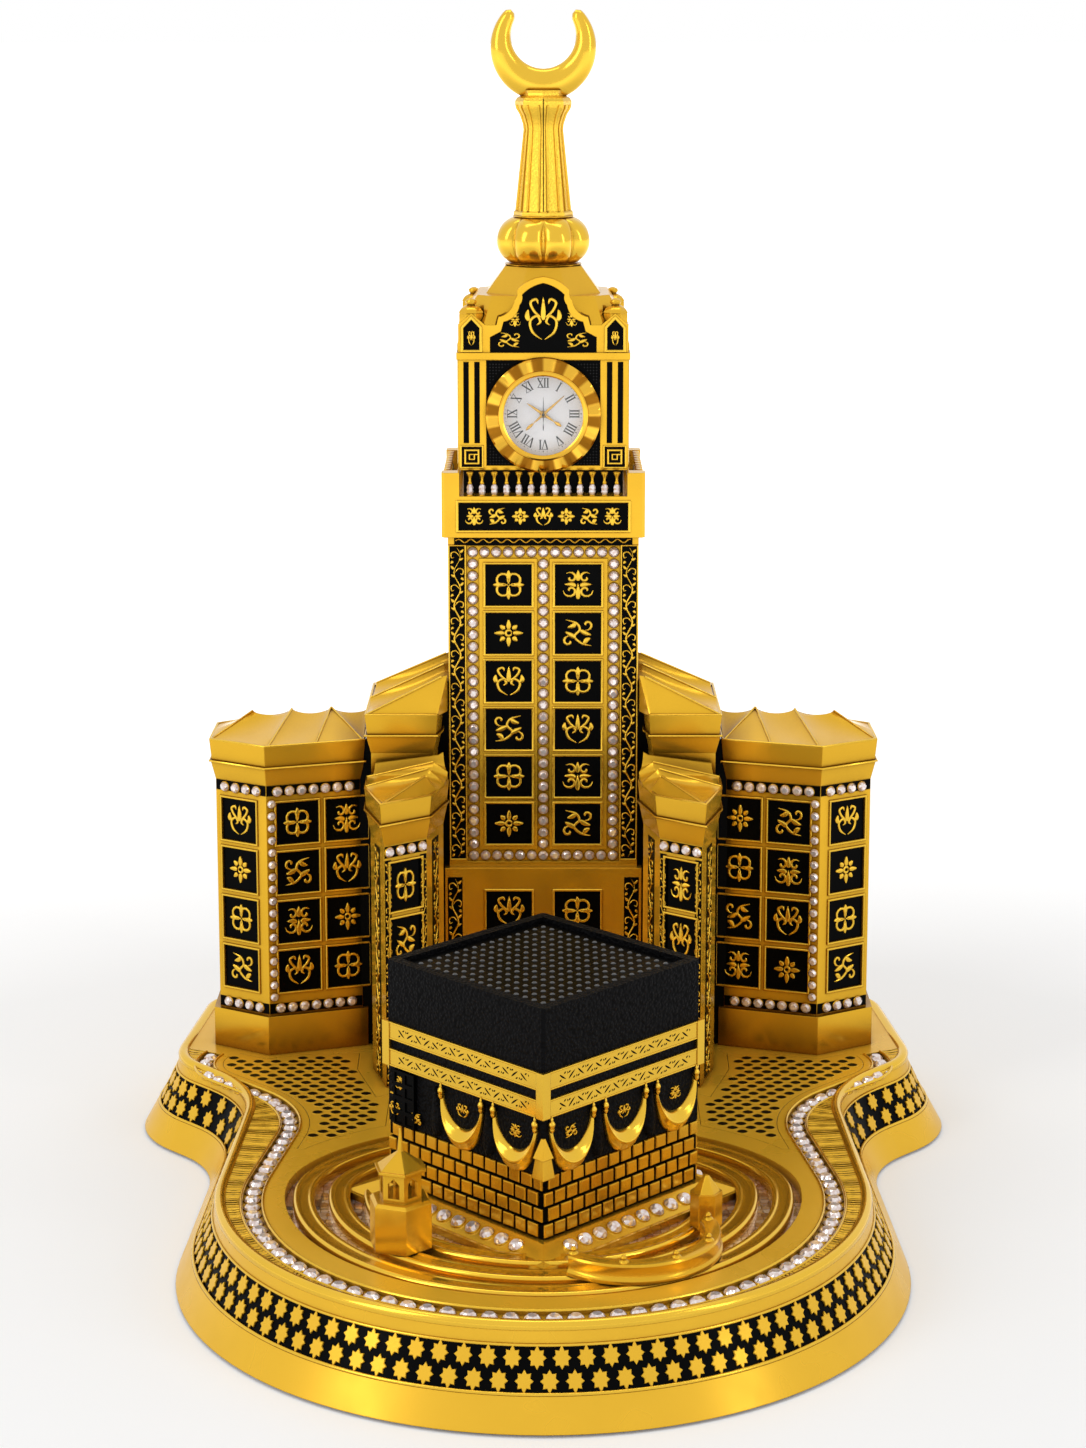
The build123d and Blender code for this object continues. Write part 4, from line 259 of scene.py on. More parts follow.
def pleated_gold():
    """Turned gold whose pleated facets are painted bright and dark by turns, a painted reflection, and are
    polished and brushed by turns.
    """
    material, tree, shader = new_material("pleated_gold")
    centred = add_node(tree, "VectorMath", {0: object_place(tree), 1: (0, 0, -CLOCK_CENTRE * MM)},
                       operation="ADD")
    parts = add_node(tree, "SeparateXYZ", {0: centred.outputs[0]}).outputs
    angle = maths(tree, "ARCTAN2", parts["Z"], parts["X"])
    wave = maths(tree, "SINE", maths(tree, "MULTIPLY", angle, float(PLEATS)))
    flat = add_node(tree, "CombineXYZ", {0: parts["X"], 2: parts["Z"]}).outputs[0]
    # Painted reflection: alternate pleats get a bright or a dark base colour, and the ring inside them is
    # bright.
    bright = maths(tree, "MAXIMUM", map_range(tree, wave, -0.35, 0.35, 0.0, 1.0),
                   map_range(tree, length_of(tree, flat), 0.0140, 0.0142, 1.0, 0.0))
    facet_painted_light = mix_colour(tree, bright, (0.30, 0.12, 0.008, 1), (0.80, 0.45, 0.045, 1))
    shade_and_grain = add_node(tree, "Group", node_tree=PLATE_SHADE_AND_GRAIN).outputs
    join(tree, shader, {
        "Base Color": mix_colour(tree, shade_and_grain["PaintedShade"], facet_painted_light, GOLD_PAINTED_SHADE),
        "Roughness": map_range(tree, bright, 0.0, 1.0, 0.3, 0.15),
        "Metallic": 1.0})
    return material


# The second colour of each plated metal, here and in the slot finishes, is the painted shade its corners
# darken to.
GOLD_PAINTED_SHADE = (0.13, 0.05, 0.003, 1)
GOLD = plated_metal("polished_gold", (0.78, 0.44, 0.03, 1), GOLD_PAINTED_SHADE, 0.2, 0.75)
BRIGHT_GOLD = plated_metal("bright_gold", (0.86, 0.53, 0.05, 1), (0.25, 0.1, 0.006, 1), 0.17)
SATIN_GOLD = plated_metal("satin_gold", (0.86, 0.50, 0.035, 1), GOLD_PAINTED_SHADE, 0.3, 0.45, grain_height=0.00002)
TOOLED_GOLD = plated_metal("tooled_gold", (0.84, 0.52, 0.05, 1), GOLD_PAINTED_SHADE, 0.25, grain=1400.0,
                           grain_height=0.00025)
# Roof gold paints shade far into the hollows between the ridges of the roofs, so that their form shows.
ROOF_GOLD = plated_metal("roof_gold", (0.86, 0.49, 0.03, 1), (0.2, 0.08, 0.003, 1), 0.2, 0.62, corner=0.012,
                         closed=0.5, opened=0.99)
BLACK_ENAMEL = enamel("black_enamel", (0.0008, 0.0008, 0.0008, 1), (0.002, 0.002, 0.002, 1), 0.25, 0.03)
BLACK_PLASTIC = enamel("black_plastic", (0.008, 0.008, 0.008, 1), (0.014, 0.014, 0.014, 1), 0.45, 0.2)
BLACK_BEAD = enamel("black_bead", (0.01, 0.01, 0.011, 1), (0.03, 0.03, 0.032, 1), 0.2, 1.0)
BLACK_CLOTH = grained_black("grained_black", 1150.0, 0.0003, (0.0012, 0.0012, 0.0014, 1))
STONE = cut_stone()

SLOT_FINISHES = {
    "gold": GOLD,
    "brass": plated_metal("turned_brass", (0.82, 0.58, 0.22, 1), (0.3, 0.17, 0.05, 1), 0.25),
    "steel": plated_metal("plain_steel", (0.56, 0.56, 0.58, 1), (0.2, 0.19, 0.18, 1), 0.3),
    "copper": plated_metal("wound_copper", (0.78, 0.36, 0.16, 1), (0.25, 0.1, 0.04, 1), 0.3),
    "black_enamel": BLACK_ENAMEL,
    "black_plastic": BLACK_PLASTIC,
    "black_cloth": BLACK_CLOTH,
    "white_enamel": enamel("dial_white", (0.86, 0.86, 0.88, 1), (0.82, 0.82, 0.85, 1), 0.25),
    "nylon": enamel("natural_nylon", (0.72, 0.7, 0.6, 1), (0.66, 0.64, 0.55, 1), 0.4),
    "felt": grained_black("black_felt", 2600.0, 0.0004, (0.01, 0.01, 0.01, 1)),
    "mirror": mirror_mosaic(),
    "crystal": STONE,
    "lens_glass": clear_lens(),
}
# Nodes whose finish differs from their slot's: the bed of the bricks and the door are black
NODE_FINISHES = {"cube_masonry": BLACK_ENAMEL, "cube_door": BLACK_ENAMEL, "base_shell": SATIN_GOLD,
                 "cube_belts": BRIGHT_GOLD}

for node_name, cad_node in NODES.items():
    for material_slot in cad_node.material_slots:
        slot_name = material_slot.material.name.split(".")[0]
        material_slot.material = NODE_FINISHES.get(node_name) or SLOT_FINISHES[slot_name]


# Points and places

def polar(radius, angle, *height):
    """The point at a distance and an angle, in radians, from the origin."""
    return (radius * cos(angle), radius * sin(angle), *height)


def turns(count, start=0.0):
    """Equal steps of a full turn, in radians."""
    return [start + 2 * pi * n / count for n in range(count)]


def shift(x, y, z=0.0):
    return Matrix.Translation((x, y, z))


def turned(axis, degrees):
    return Matrix.Rotation(radians(degrees), 4, axis)


def facing(right, up, out, at):
    """The frame with these axes at a point: X to the right, Y up, Z outwards."""
    place = Matrix((right, up, out)).transposed().to_4x4()
    place.translation = at
    return place


def front_place(x, z, y):
    """A frame on a front face: X to the right, Y up, Z towards the viewer."""
    return Matrix(((1, 0, 0, x), (0, 0, -1, y), (0, 1, 0, z), (0, 0, 0, 1)))


def box(width, height):
    """The outline of a box about the origin."""
    x, y = width / 2, height / 2
    return [(-x, -y), (x, -y), (x, y), (-x, y)]


def mitres(outline):
    """The corners of a counter-clockwise outline, each with the outward step that its edges share."""
    corners = [Vector(p) for p in outline]
    found = []
    for before, here, after in zip(corners[-1:] + corners[:-1], corners, corners[1:] + corners[:1]):
        first, second = (here - before).normalized(), (after - here).normalized()
        out = Vector((first.y + second.y, -first.x - second.x)) / max(1.0 + first.dot(second), 0.3)
        found.append((here, out))
    return found


def outline_offset(outline, amount):
    """A counter-clockwise outline moved outwards."""
    return [tuple(here + out * amount) for here, out in mitres(outline)]


def inside(point, outline):
    """Whether a point is inside a closed outline."""
    x, y = point
    hit = False
    for (ax, ay), (bx, by) in zip(outline, outline[1:] + outline[:1]):
        if (ay > y) != (by > y) and x < ax + (y - ay) * (bx - ax) / (by - ay):
            hit = not hit
    return hit


def clearance(point, outline):
    """Distance from a point to a closed outline."""
    place = Vector(point)
    corners = [Vector(p) for p in outline]
    best = 1e9
    for a, b in zip(corners, corners[1:] + corners[:1]):
        span = b - a
        share = min(max((place - a).dot(span) / max(span.length_squared, 1e-9), 0.0), 1.0)
        best = min(best, (a + span * share - place).length)
    return best


def smooth_line(points, steps=5):
    """Points along a Catmull-Rom curve through the given ones."""
    line = []
    ends = [points[0], *points, points[-1]]
    for n in range(len(points) - 1):
        a, b, c, d = (Vector(p) for p in ends[n:n + 4])
        for k in range(steps):
            t = k / steps
            line.append(tuple(0.5 * (2 * b + (c - a) * t + (2 * a - 5 * b + 4 * c - d) * t * t
                                     + (3 * b - a - 3 * c + d) * t ** 3)))
    return line + [tuple(points[-1])]


# Meshes

class Shape:
    """Collects the skins of one piece, in millimetres."""

    def __init__(self):
        self.points, self.faces = [], []

    def add(self, points, faces, place=HERE):
        start = len(self.points)
        self.points += [place @ Vector(p) for p in points]
        self.faces += [tuple(start + i for i in face) for face in faces]

    def loft(self, rings, closed=False):
        """Skins closed rings of equal count, with flat ends unless the loft closes on itself."""
        count, last = len(rings[0]), len(rings) - 1
        sides = [(k, (k + 1) % count) for k in range(count)]
        faces = []
        for n in range(last + closed):
            low, high = n * count, (n + 1) % len(rings) * count
            faces += [(low + a, low + b, high + b, high + a) for a, b in sides]
        if not closed:
            faces += [tuple(range(count - 1, -1, -1)), tuple(range(last * count, last * count + count))]
        self.add([p for ring in rings for p in ring], faces)

    def sweep(self, line, side, out, section):
        """A bar along points, with its section given across and outwards."""
        self.loft([[p + side * x + out * y for x, y in section] for p in line])

    def lathe(self, profile, segments, place=HERE, ripple=None):
        """Turns (radius, height) points about Z; ripple(angle, radius, height) moves them."""
        points, faces = [], []
        count = len(profile)
        for n, angle in enumerate(turns(segments)):
            moved = [ripple(angle, *p) for p in profile] if ripple else profile
            points += [polar(radius, angle, height) for radius, height in moved]
            low, high = n * count, (n + 1) % segments * count
            faces += [(low + k, low + k + 1, high + k + 1, high + k) for k in range(count - 1)]
        self.add(points, faces, place)

    def prism(self, outline, thickness, place=HERE, bevel=0.0):
        """A flat plate with the given outline, its upper edge drawn in by bevel."""
        rings = [[(*p, 0) for p in outline], [(*p, thickness - bevel) for p in outline]]
        if bevel:
            middle = sum((Vector(p) for p in outline), Vector((0, 0))) / len(outline)
            rings.append([])
            for p in outline:
                spoke = Vector(p) - middle
                drawn = spoke * max(spoke.length - bevel, 0.0) / max(spoke.length, 1e-6)
                rings[-1].append((*(middle + drawn), thickness))
        self.loft([[place @ Vector(p) for p in ring] for ring in rings])

    def frame(self, outline, width, rise, place):
        """A moulded frame that runs outside a closed outline."""
        section = ((0, 0), (0, 0.7), (0.25, 1.0), (0.7, 1.0), (1.0, 0.55), (1.0, 0))
        self.loft([[place @ Vector((*(here + out * width * x), rise * z)) for x, z in section]
                   for here, out in mitres(outline)], closed=True)

    def bar(self, start, end, width, thickness, place):
        """A thin straight stroke."""
        a, b = Vector(start), Vector(end)
        side = Vector((a.y - b.y, b.x - a.x)).normalized() * width / 2
        self.prism([tuple(p) for p in (a - side, b - side, b + side, a + side)], thickness, place)

    def strap(self, line, widths, rise, place):
        """A raised strap with a rounded back along (x, y) points of a surface."""
        section = ((-0.5, 0), (-0.36, 0.75), (0, 1), (0.36, 0.75), (0.5, 0))
        rings = []
        last = len(line) - 1
        for n, point in enumerate(line):
            along = (Vector(line[min(n + 1, last)]) - Vector(line[max(n - 1, 0)])).normalized()
            side = Vector((-along.y, along.x))
            width, spot = widths(n / last), Vector(point)
            lift = rise * min(1.0, width / 0.4)
            rings.append([place @ Vector((*(spot + side * x * width), lift * z)) for x, z in section])
        self.loft(rings)


def make_piece(name, shape, material, body="clock", replaces=(), angle=40.0):
    """The Blender object of a shape, riding on a body."""
    mesh = bpy.data.meshes.new(name)
    mesh.from_pydata([p * MM for p in shape.points], [], shape.faces)
    work = bmesh.new()
    work.from_mesh(mesh)
    bmesh.ops.remove_doubles(work, verts=work.verts, dist=1e-7)
    bmesh.ops.dissolve_degenerate(work, edges=work.edges, dist=1e-7)
    bmesh.ops.recalc_face_normals(work, faces=work.faces)
    for face in work.faces:
        face.smooth = True
    work.to_mesh(mesh)
    work.free()
    mesh.set_sharp_from_angle(angle=radians(angle))
    mesh.materials.append(material)
    piece = bpy.data.objects.new(name, mesh)
    SCENE.collection.objects.link(piece)
    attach(piece, body)
    if replaces:
        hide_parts(*replaces)
    return piece


def node_mesh(name):
    """A CAD node's mesh with its doubled corners merged, for the caller to free."""
    work = bmesh.new()
    work.from_mesh(NODES[name].data)
    bmesh.ops.remove_doubles(work, verts=work.verts, dist=1e-6)
    work.verts.index_update()
    work.edges.index_update()
    return work


def islands(name):
    """The separate solids of a CAD node from the top down, each as its points and its edges."""
    work = node_mesh(name)
    seen, found = set(), []
    for first in work.verts:
        if first.index in seen:
            continue
        seen.add(first.index)
        group = [first]
        for vert in group:
            for other in (edge.other_vert(vert) for edge in vert.link_edges):
                if other.index not in seen:
                    seen.add(other.index)
                    group.append(other)
        group.sort(key=lambda vert: vert.index)
        edges = {edge.index: edge.verts for vert in group for edge in vert.link_edges}
        spans = [(edges[n][1].co - edges[n][0].co) / MM for n in sorted(edges)]
        found.append(([vert.co / MM for vert in group], spans))
    work.free()
    order = ((2, -1), (0, 1), (1, 1))
    return sorted(found, key=lambda item: tuple(
        round(sum(p[k] for p in item[0]) / len(item[0]) * sign, 1) for k, sign in order))


def face_place(points, spans, lift=0.0):
    """The frame on a thin solid's outer face, and the face's width and height."""
    normal = min(spans, key=lambda s: s.length).copy()
    thickness = normal.length
    normal.normalize()
    middle = sum(points, Vector()) / len(points)
    if normal.dot(Vector((0, -1, 1.2))) < 0 or abs(normal.x) > 0.99 and normal.x * middle.x < 0:
        normal.negate()
    right = UP.cross(normal)
    if right.length < 1e-3:
        right = Vector((1, 0, 0))
    right.normalize()
    up = normal.cross(right)
    width, height = (max(p.dot(way) for p in points) - min(p.dot(way) for p in points)
                     for way in (right, up))
    return facing(right, up, normal, middle + normal * (thickness / 2 + lift)), width, height


# Cut stones in their cups

CUP = ((0.7, -0.3), (1.06, -0.3), (1.12, 0.0), (1.0, 0.3), (0.93, 0.12), (0.7, -0.3))


def add_stone(stones, cups, place, radius, height):
    """One brilliant-cut stone and the gold cup that holds it."""
    points = [polar(0.56 * radius, a, height) for a in turns(8)]
    points += [polar(0.83 * radius, a, height * 0.66) for a in turns(8, radians(22.5))]
    points += [polar(radius, a, height * 0.18) for a in turns(16)]
    points.append((0, 0, -height * 0.35))
    faces = [tuple(range(8))]
    for k in range(8):
        crown, edge = 8 + k, 16 + 2 * k
        faces += [(k, crown, (k + 1) % 8), (k, 8 + (k - 1) % 8, edge, crown), (crown, edge, edge + 1),
                  (crown, edge + 1, 16 + (2 * k + 2) % 16)]
    faces += [(16 + k, 32, 16 + (k + 1) % 16) for k in range(16)]
    stones.add(points, faces, place)
    cups.lathe([(radius * r, height * z) for r, z in CUP], 14, place)


def set_stones(name, node, radius, height):
    """Replaces the CAD stones of a node by cut stones, each turned by its own angle."""
    stones, cups = Shape(), Shape()
    draw = random.Random(name)
    for points, spans in islands(node):
        place, width, _ = face_place(points, spans)
        spin = Matrix.Rotation(draw.uniform(0, pi / 4), 4, "Z")
        tilt = Matrix.Rotation(draw.uniform(-0.06, 0.06), 4, "X")
        add_stone(stones, cups, place @ shift(0, 0, -height * 0.75) @ tilt @ spin,
                  radius * min(width, 4.0) / 4.0, height)
    make_piece(name, stones, STONE, replaces=(node,), angle=5.0)
    make_piece(name + "_cups", cups, GOLD)


# Ornaments in relief: scrolls, leaves and rosettes drawn in a square of side 2

def taper(width):
    """A strap's width along its length, thinner at its ends."""
    return lambda t: width * min(1.0, 0.25 + 4 * min(t, 1 - t))


def leaf_width(width):
    """The width of a pointed leaf along its length."""
    return lambda t: max(width * sin(pi * t ** 0.8), 0.03)


def scroll(rounds, size, eye, lean):
    """A spiral that opens from its eye."""
    line = []
    for n in range(13):
        x, y = polar(size * (0.12 + 0.88 * n / 12), lean + n / 12 * rounds * 2 * pi)
        line.append((eye[0] + x, eye[1] + y))
    return line


def mirrored(*lines):
    return [*lines, *([(-x, y) for x, y in line] for line in lines)]


def spoke(angle, *reaches):
    """A leaf that points away from the middle."""
    return [polar(reach, angle) for reach in reaches]


def ring_line(count, radius, start=0.0, middle=(0.0, 0.0)):
    """A closed round line."""
    line = [tuple(Vector(middle) + Vector(polar(radius, a))) for a in turns(count, start)]
    return line + line[:1]


# Each motif is its stems and its leaves
MOTIFS = (
    (mirrored(smooth_line([(0.06, -0.85), (0.5, -0.55), (0.62, -0.1), (0.3, 0.12), (0.14, -0.12),
                           (0.32, -0.26)]),
              smooth_line([(0.08, 0.05), (0.42, 0.3), (0.6, 0.66), (0.34, 0.8), (0.24, 0.6)])),
     [[(0, -0.1), (0, 0.3), (0, 0.9)], *mirrored([(0.66, -0.1), (0.76, 0.12), (0.7, 0.42)])]),
    ([ring_line(12, 0.36, a + pi, polar(0.42, a)) for a in turns(4, pi / 4)],
     [spoke(a, 0.3, 0.6, 0.9) for a in turns(4)]),
    (mirrored(scroll(1.1, 0.42, (0.42, -0.35), -0.6), scroll(-1.0, 0.36, (0.4, 0.42), 0.8)),
     [[(0, -0.9), (0, -0.5), (0, 0.1)], [(0, 0.2), (0, 0.5), (0, 0.92)],
      *mirrored([(0.1, -0.1), (0.34, 0.02), (0.78, 0.02)])]),
    ([ring_line(10, 0.17)],
     [spoke(a, *((0.3, 0.5, 0.7) if k % 2 else (0.2, 0.5, 0.85))) for k, a in enumerate(turns(8))]),
    ([smooth_line([(-0.75, -0.75), (-0.2, -0.62), (0.2, -0.2), (-0.1, 0.2), (0.1, 0.6), (0.7, 0.8)]),
      scroll(0.9, 0.34, (0.52, -0.5), 2.4), scroll(0.9, 0.34, (-0.5, 0.5), -0.7)],
     [[(0.1, -0.3), (0.42, -0.1), (0.75, 0.1)], [(-0.1, 0.2), (-0.4, 0.0), (-0.78, -0.12)],
      [(0.1, 0.6), (0.3, 0.42), (0.62, 0.34)], [(-0.3, -0.66), (-0.5, -0.4), (-0.72, -0.3)]]))


def add_ornament(relief, kind, place, half_width, half_height, stroke=0.95, rise=0.45, flip=1):
    """A motif stretched over a surface; flip is -1 for its mirror image."""
    for is_leaf, lines in enumerate(MOTIFS[kind]):
        for line in lines:
            points = [(flip * x * half_width, y * half_height) for x, y in line]
            if is_leaf:
                relief.strap(smooth_line(points, 4), leaf_width(stroke * 1.9), rise * 1.15, place)
            else:
                relief.strap(points, taper(stroke), rise, place)


def add_vine(relief, place, length, half_width, step, stroke, rise=0.4):
    """A wavy stem with curled side shoots and leaves, running up the middle of a strip."""
    count = round(length / step)
    pitch = length / count
    stem = [(half_width * 0.45 * sin(pi * n / 4), -length / 2 + n * pitch / 4)
            for n in range(count * 4 + 1)]
    relief.strap(stem, taper(stroke), rise, place)
    for n in range(count):
        side = 1 if n % 2 else -1
        base = -length / 2 + (n + 0.5) * pitch

        def shoot(points, widths):
            line = [(side * x * half_width, base + y * pitch * 0.5) for x, y in points]
            relief.strap(smooth_line(line, 3), widths, rise, place)

        shoot(((-0.4, -0.1), (0.2, 0.5), (0.8, 0.35), (0.75, -0.2), (0.4, -0.1)), taper(stroke * 0.8))
        for x, y, dx, dy in ((-0.2, -0.5, -0.7, 0.3), (-0.4, 0.4, -0.5, 0.5), (0.5, -0.6, 0.4, -0.35)):
            shoot(((x, y), (x + dx * 0.5, y + dy * 0.4), (x + dx, y + dy)), leaf_width(stroke * 1.7))


def ornament_tiles():
    """Gold relief on the black tiles of the tower and the wings, on its side panels and on the frieze."""
    for node, name in (("tower_tiles", "tower_relief"), ("wing_tiles", "wing_relief")):
        relief = Shape()
        for n, (points, spans) in enumerate(islands(node)):
            place, width, height = face_place(points, spans, -0.02)
            if width > 40:
                add_frieze(relief, place, width, height)
            elif height > 40:
                add_panel(relief, place, width, height)
            else:
                add_ornament(relief, n % 5, place, width * 0.39, height * 0.41, flip=1 if n % 2 else -1)
        make_piece(name, relief, BRIGHT_GOLD)


def add_panel(relief, place, width, height):
    """Framed motifs in two columns on a tall side panel."""
    rows = round(height / 15.5)
    pitch = height / rows
    for n in range(2 * rows):
        spot = place @ shift((n % 2 - 0.5) * width / 2, (n // 2 - (rows - 1) / 2) * pitch)
        relief.frame(box(width * 0.4, pitch * 0.8), 0.9, 0.6, spot)
        add_ornament(relief, n % 5, spot, width * 0.16, pitch * 0.33, flip=1 if n % 2 else -1)


def add_frieze(relief, place, width, height):
    """Scrolls and rosettes along the frieze."""
    kinds = (2, 4, 3, 0, 3, 4, 2)
    pitch = width * 0.95 / len(kinds)
    for n, kind in enumerate(kinds):
        spot = place @ shift((n - 3) * pitch, 0)
        add_ornament(relief, kind, spot, pitch * 0.46, height * 0.38, 0.75, 0.35,
                     1 if n < 4 else -1)


# Plans of the wings, viewer's left, counter-clockwise

OUTER_PLAN = [(-105.7, 119.2), (-87.4, 108.5), (-56.3, 118.4), (-56.3, 151.0), (-91.0, 151.0),
              (-105.7, 141.0)]
INNER_PLAN = [(-49.5, 76.0), (-34.3, 87.3), (-29.5, 106.0), (-31.2, 111.8), (-55.6, 111.8), (-55.4, 96.3)]
MID_PLAN = [(-56.0, 112.1), (-33.2, 112.1), (-31.7, 119.5), (-31.7, 158.0), (-56.0, 158.0)]


# Base: outline, trims, inlay stars and tooled border

def walk(start, moves, step=2.5):
    """Points and left-hand normals along runs and arcs that start towards +X; a positive turn goes left."""
    place, angle = Vector(start), 0.0
    line = [(place.copy(), Vector((0, 1)))]
    for length, degrees in moves:
        count = max(2, round(length / step))
        bend = radians(degrees) / count
        stride = length / count * (sin(bend / 2) / (bend / 2) if bend else 1.0)
        for _ in range(count):
            place += Vector(polar(stride, angle + bend / 2))
            angle += bend
            line.append((place.copy(), Vector((-sin(angle), cos(angle)))))
    return line


def arc(radius, degrees):
    return (radius * radians(abs(degrees)), degrees)


def base_line():
    """The base outline at the foot, all round, with its inward normals."""
    right = walk((0, -104.0), [arc(104.0, 92.4), (53.6, 0), arc(34.0, -47.4), (8.5, 0), arc(36.0, 51.0),
                               (39.0, 0), arc(28.0, 84.0)])
    end = right[-1][0]
    count = round(end.x / 2.5)
    half = right + [(Vector((end.x * (1 - n / count), end.y)), Vector((0, -1)))
                    for n in range(1, count + 1)]
    return half + [(Vector((-p.x, p.y)), Vector((-m.x, m.y))) for p, m in reversed(half[1:-1])]


BASE_LINE = base_line()


def border_runs(side):
    """The line of the border stones on one side, in the stretches that no wing stands on."""
    line = walk((0, -86.8), [arc(81.8, 98.5), (33.0, 0), arc(40.0, -54.0), (19.0, 0), arc(20.0, 72.0)], 1.5)
    wing = outline_offset(OUTER_PLAN, -1.0)
    runs = [[]]
    for p, m in line:
        if inside((-p.x, p.y), wing):
            runs.append([])
        else:
            runs[-1].append((Vector((p.x * side, p.y)), Vector((m.x * side, m.y))))
    return [run for run in runs if len(run) > 3]


def base_trims():
    """Beads above and below the slope, the rounded lip, and the rims of the stone border."""
    trims = Shape()

    def trim(line, profile, closed):
        trims.loft([[Vector((*(p + m * x), z)) for x, z in profile] for p, m in line], closed)

    for inset, height, radius in ((5.1, 9.25, 0.55), (10.7, 20.0, 0.45)):
        trim(BASE_LINE, [(inset + x, height + z) for x, z in (polar(radius, a) for a in turns(8))], True)
    trim(BASE_LINE, [(11.3, 23.6), (11.2, 24.6), (11.6, 25.5), (12.6, 26.0), (13.7, 25.8), (14.4, 25.2),
                     (14.5, 24.6)], True)
    for side in (1, -1):
        for run in border_runs(side):
            for offset in (-3.05, 3.05):
                trim(run, [(offset + x, DECK + z) for x, z in
                           ((-0.45, -0.1), (-0.35, 0.3), (0, 0.5), (0.35, 0.3), (0.45, -0.1))], False)
    make_piece("base_trims", trims, BRIGHT_GOLD, angle=50)


def tooled_strip():
    """The strip between the lip and the stones, with fine cuts across it."""
    strip = Shape()
    foot = [tuple(p) for p, _ in BASE_LINE[::2]]
    cuts = ((0, 25.02), (0.2, 25.02), (0.33, 25.22), (0.5, 25.24), (0.7, 25.02), (0.8, 25.16), (0.9, 25.16))
    bottom = DECK - 0.2
    for side in (1, -1):
        reach = []
        for p, m in border_runs(side)[0]:
            near, far = 0.0, 16.0
            for _ in range(9):
                middle = (near + far) / 2
                if clearance(tuple(p - m * (3.5 + middle)), foot) > 14.4:
                    near = middle
                else:
                    far = middle
            reach.append((p - m * 3.4, p - m * (3.5 + near)))
        stretches = [[]]
        for (near, far), (next_near, next_far) in zip(reach, reach[1:]):
            if min((far - near).length, (next_far - next_near).length) < 0.5:
                stretches.append([])
                continue
            rings = stretches[-1]
            for k, (share, height) in enumerate(cuts):
                a, b = near.lerp(next_near, share), far.lerp(next_far, share)
                c = a.lerp(b, 0.5) + (next_near - near) * 0.18 * sin(k * 2.1 + len(rings))
                rings.append([Vector((*p, z)) for p, z in
                              ((a, height), (c, height), (b, height), (b, bottom), (a, bottom))])
        for rings in stretches:
            if rings:
                strip.loft(rings)
    make_piece("tooled_strip", strip, SATIN_GOLD, angle=30)


def star_outline(width, height, long_tip):
    """A plate with eight small points; long_tip is 1 for a longer top point, -1 for a longer foot."""
    outline = []
    for n, angle in enumerate(turns(16)):
        x, y = polar(width / 2 * (0.7 if n % 2 else 1.0), angle)
        outline.append((x, y * 1.15))
    for n, way in ((4, 1), (12, -1)):
        outline[n] = (outline[n][0], way * height * (0.54 if way == long_tip else 0.46))
    return outline


def band_stars():
    """Two staggered rows of star plates on the black band."""
    stars = Shape()
    loop = BASE_LINE + BASE_LINE[:1]
    lengths = [0.0]
    for (a, _), (b, _) in zip(loop, loop[1:]):
        lengths.append(lengths[-1] + (b - a).length)
    run, climb = 5.3, 11.0
    slope = Vector((run, climb)).normalized()
    count = round(lengths[-1] / 6.9)
    for row, (share_up, tip) in enumerate(((0.27, -1), (0.74, 1))):
        inset, height = 5.5 + run * share_up, 9.0 + climb * share_up
        for n in range(count):
            target = (n + 0.5 * row + 0.25) * lengths[-1] / count % lengths[-1]
            k = next(i for i in range(len(lengths) - 1) if lengths[i + 1] >= target)
            share = (target - lengths[k]) / (lengths[k + 1] - lengths[k])
            spot, inward = (loop[k][i].lerp(loop[k + 1][i], share) for i in (0, 1))
            inward.normalize()
            right = Vector((inward.y, -inward.x, 0))
            up = Vector((inward.x * slope.x, inward.y * slope.x, slope.y))
            out = right.cross(up)
            place = facing(right, up, out, Vector((*(spot + inward * inset), height)) - out * 0.1)
            stars.prism(star_outline(4.9, 6.4, tip), 0.6, place, 0.18)
    make_piece("band_stars", stars, SATIN_GOLD, angle=25)


# Clock head and tower front

def clock_bezel():
    """Turned bezel with pleated facets, and a smooth inner ring."""
    def pleat(angle, radius, height):
        if height > 2.0 and radius > 14.0:
            fold = abs((angle * PLEATS / (2 * pi)) % 1.0 - 0.5) * 2 - 0.5
            height += 0.62 * fold * (radius - 13.9) / 3.4
        return radius, height

    bezel = Shape()
    profile = [(17.4, -2.4), (17.4, 0.02), (18.0, 0.02), (18.0, 1.3), (17.85, 1.9), (17.3, 2.25),
               (14.15, 2.6), (13.95, 2.95), (13.5, 3.1), (12.8, 3.0), (12.45, 2.8), (12.4, 2.68),
               (13.15, 2.66), (13.15, -2.4), (17.4, -2.4)]
    bezel.lathe(profile, PLEATS * 10, front_place(0, CLOCK_CENTRE, HOUSING_FRONT), pleat)
    make_piece("pleated_bezel", bezel, pleated_gold(), replaces=("clock_bezel",), angle=14)


NUMERALS = ("XII", "I", "II", "III", "IIII", "V", "VI", "VII", "VIII", "IX", "X", "XI")
LETTER_WIDTHS = {"I": 0.3, "V": 0.62, "X": 0.6}


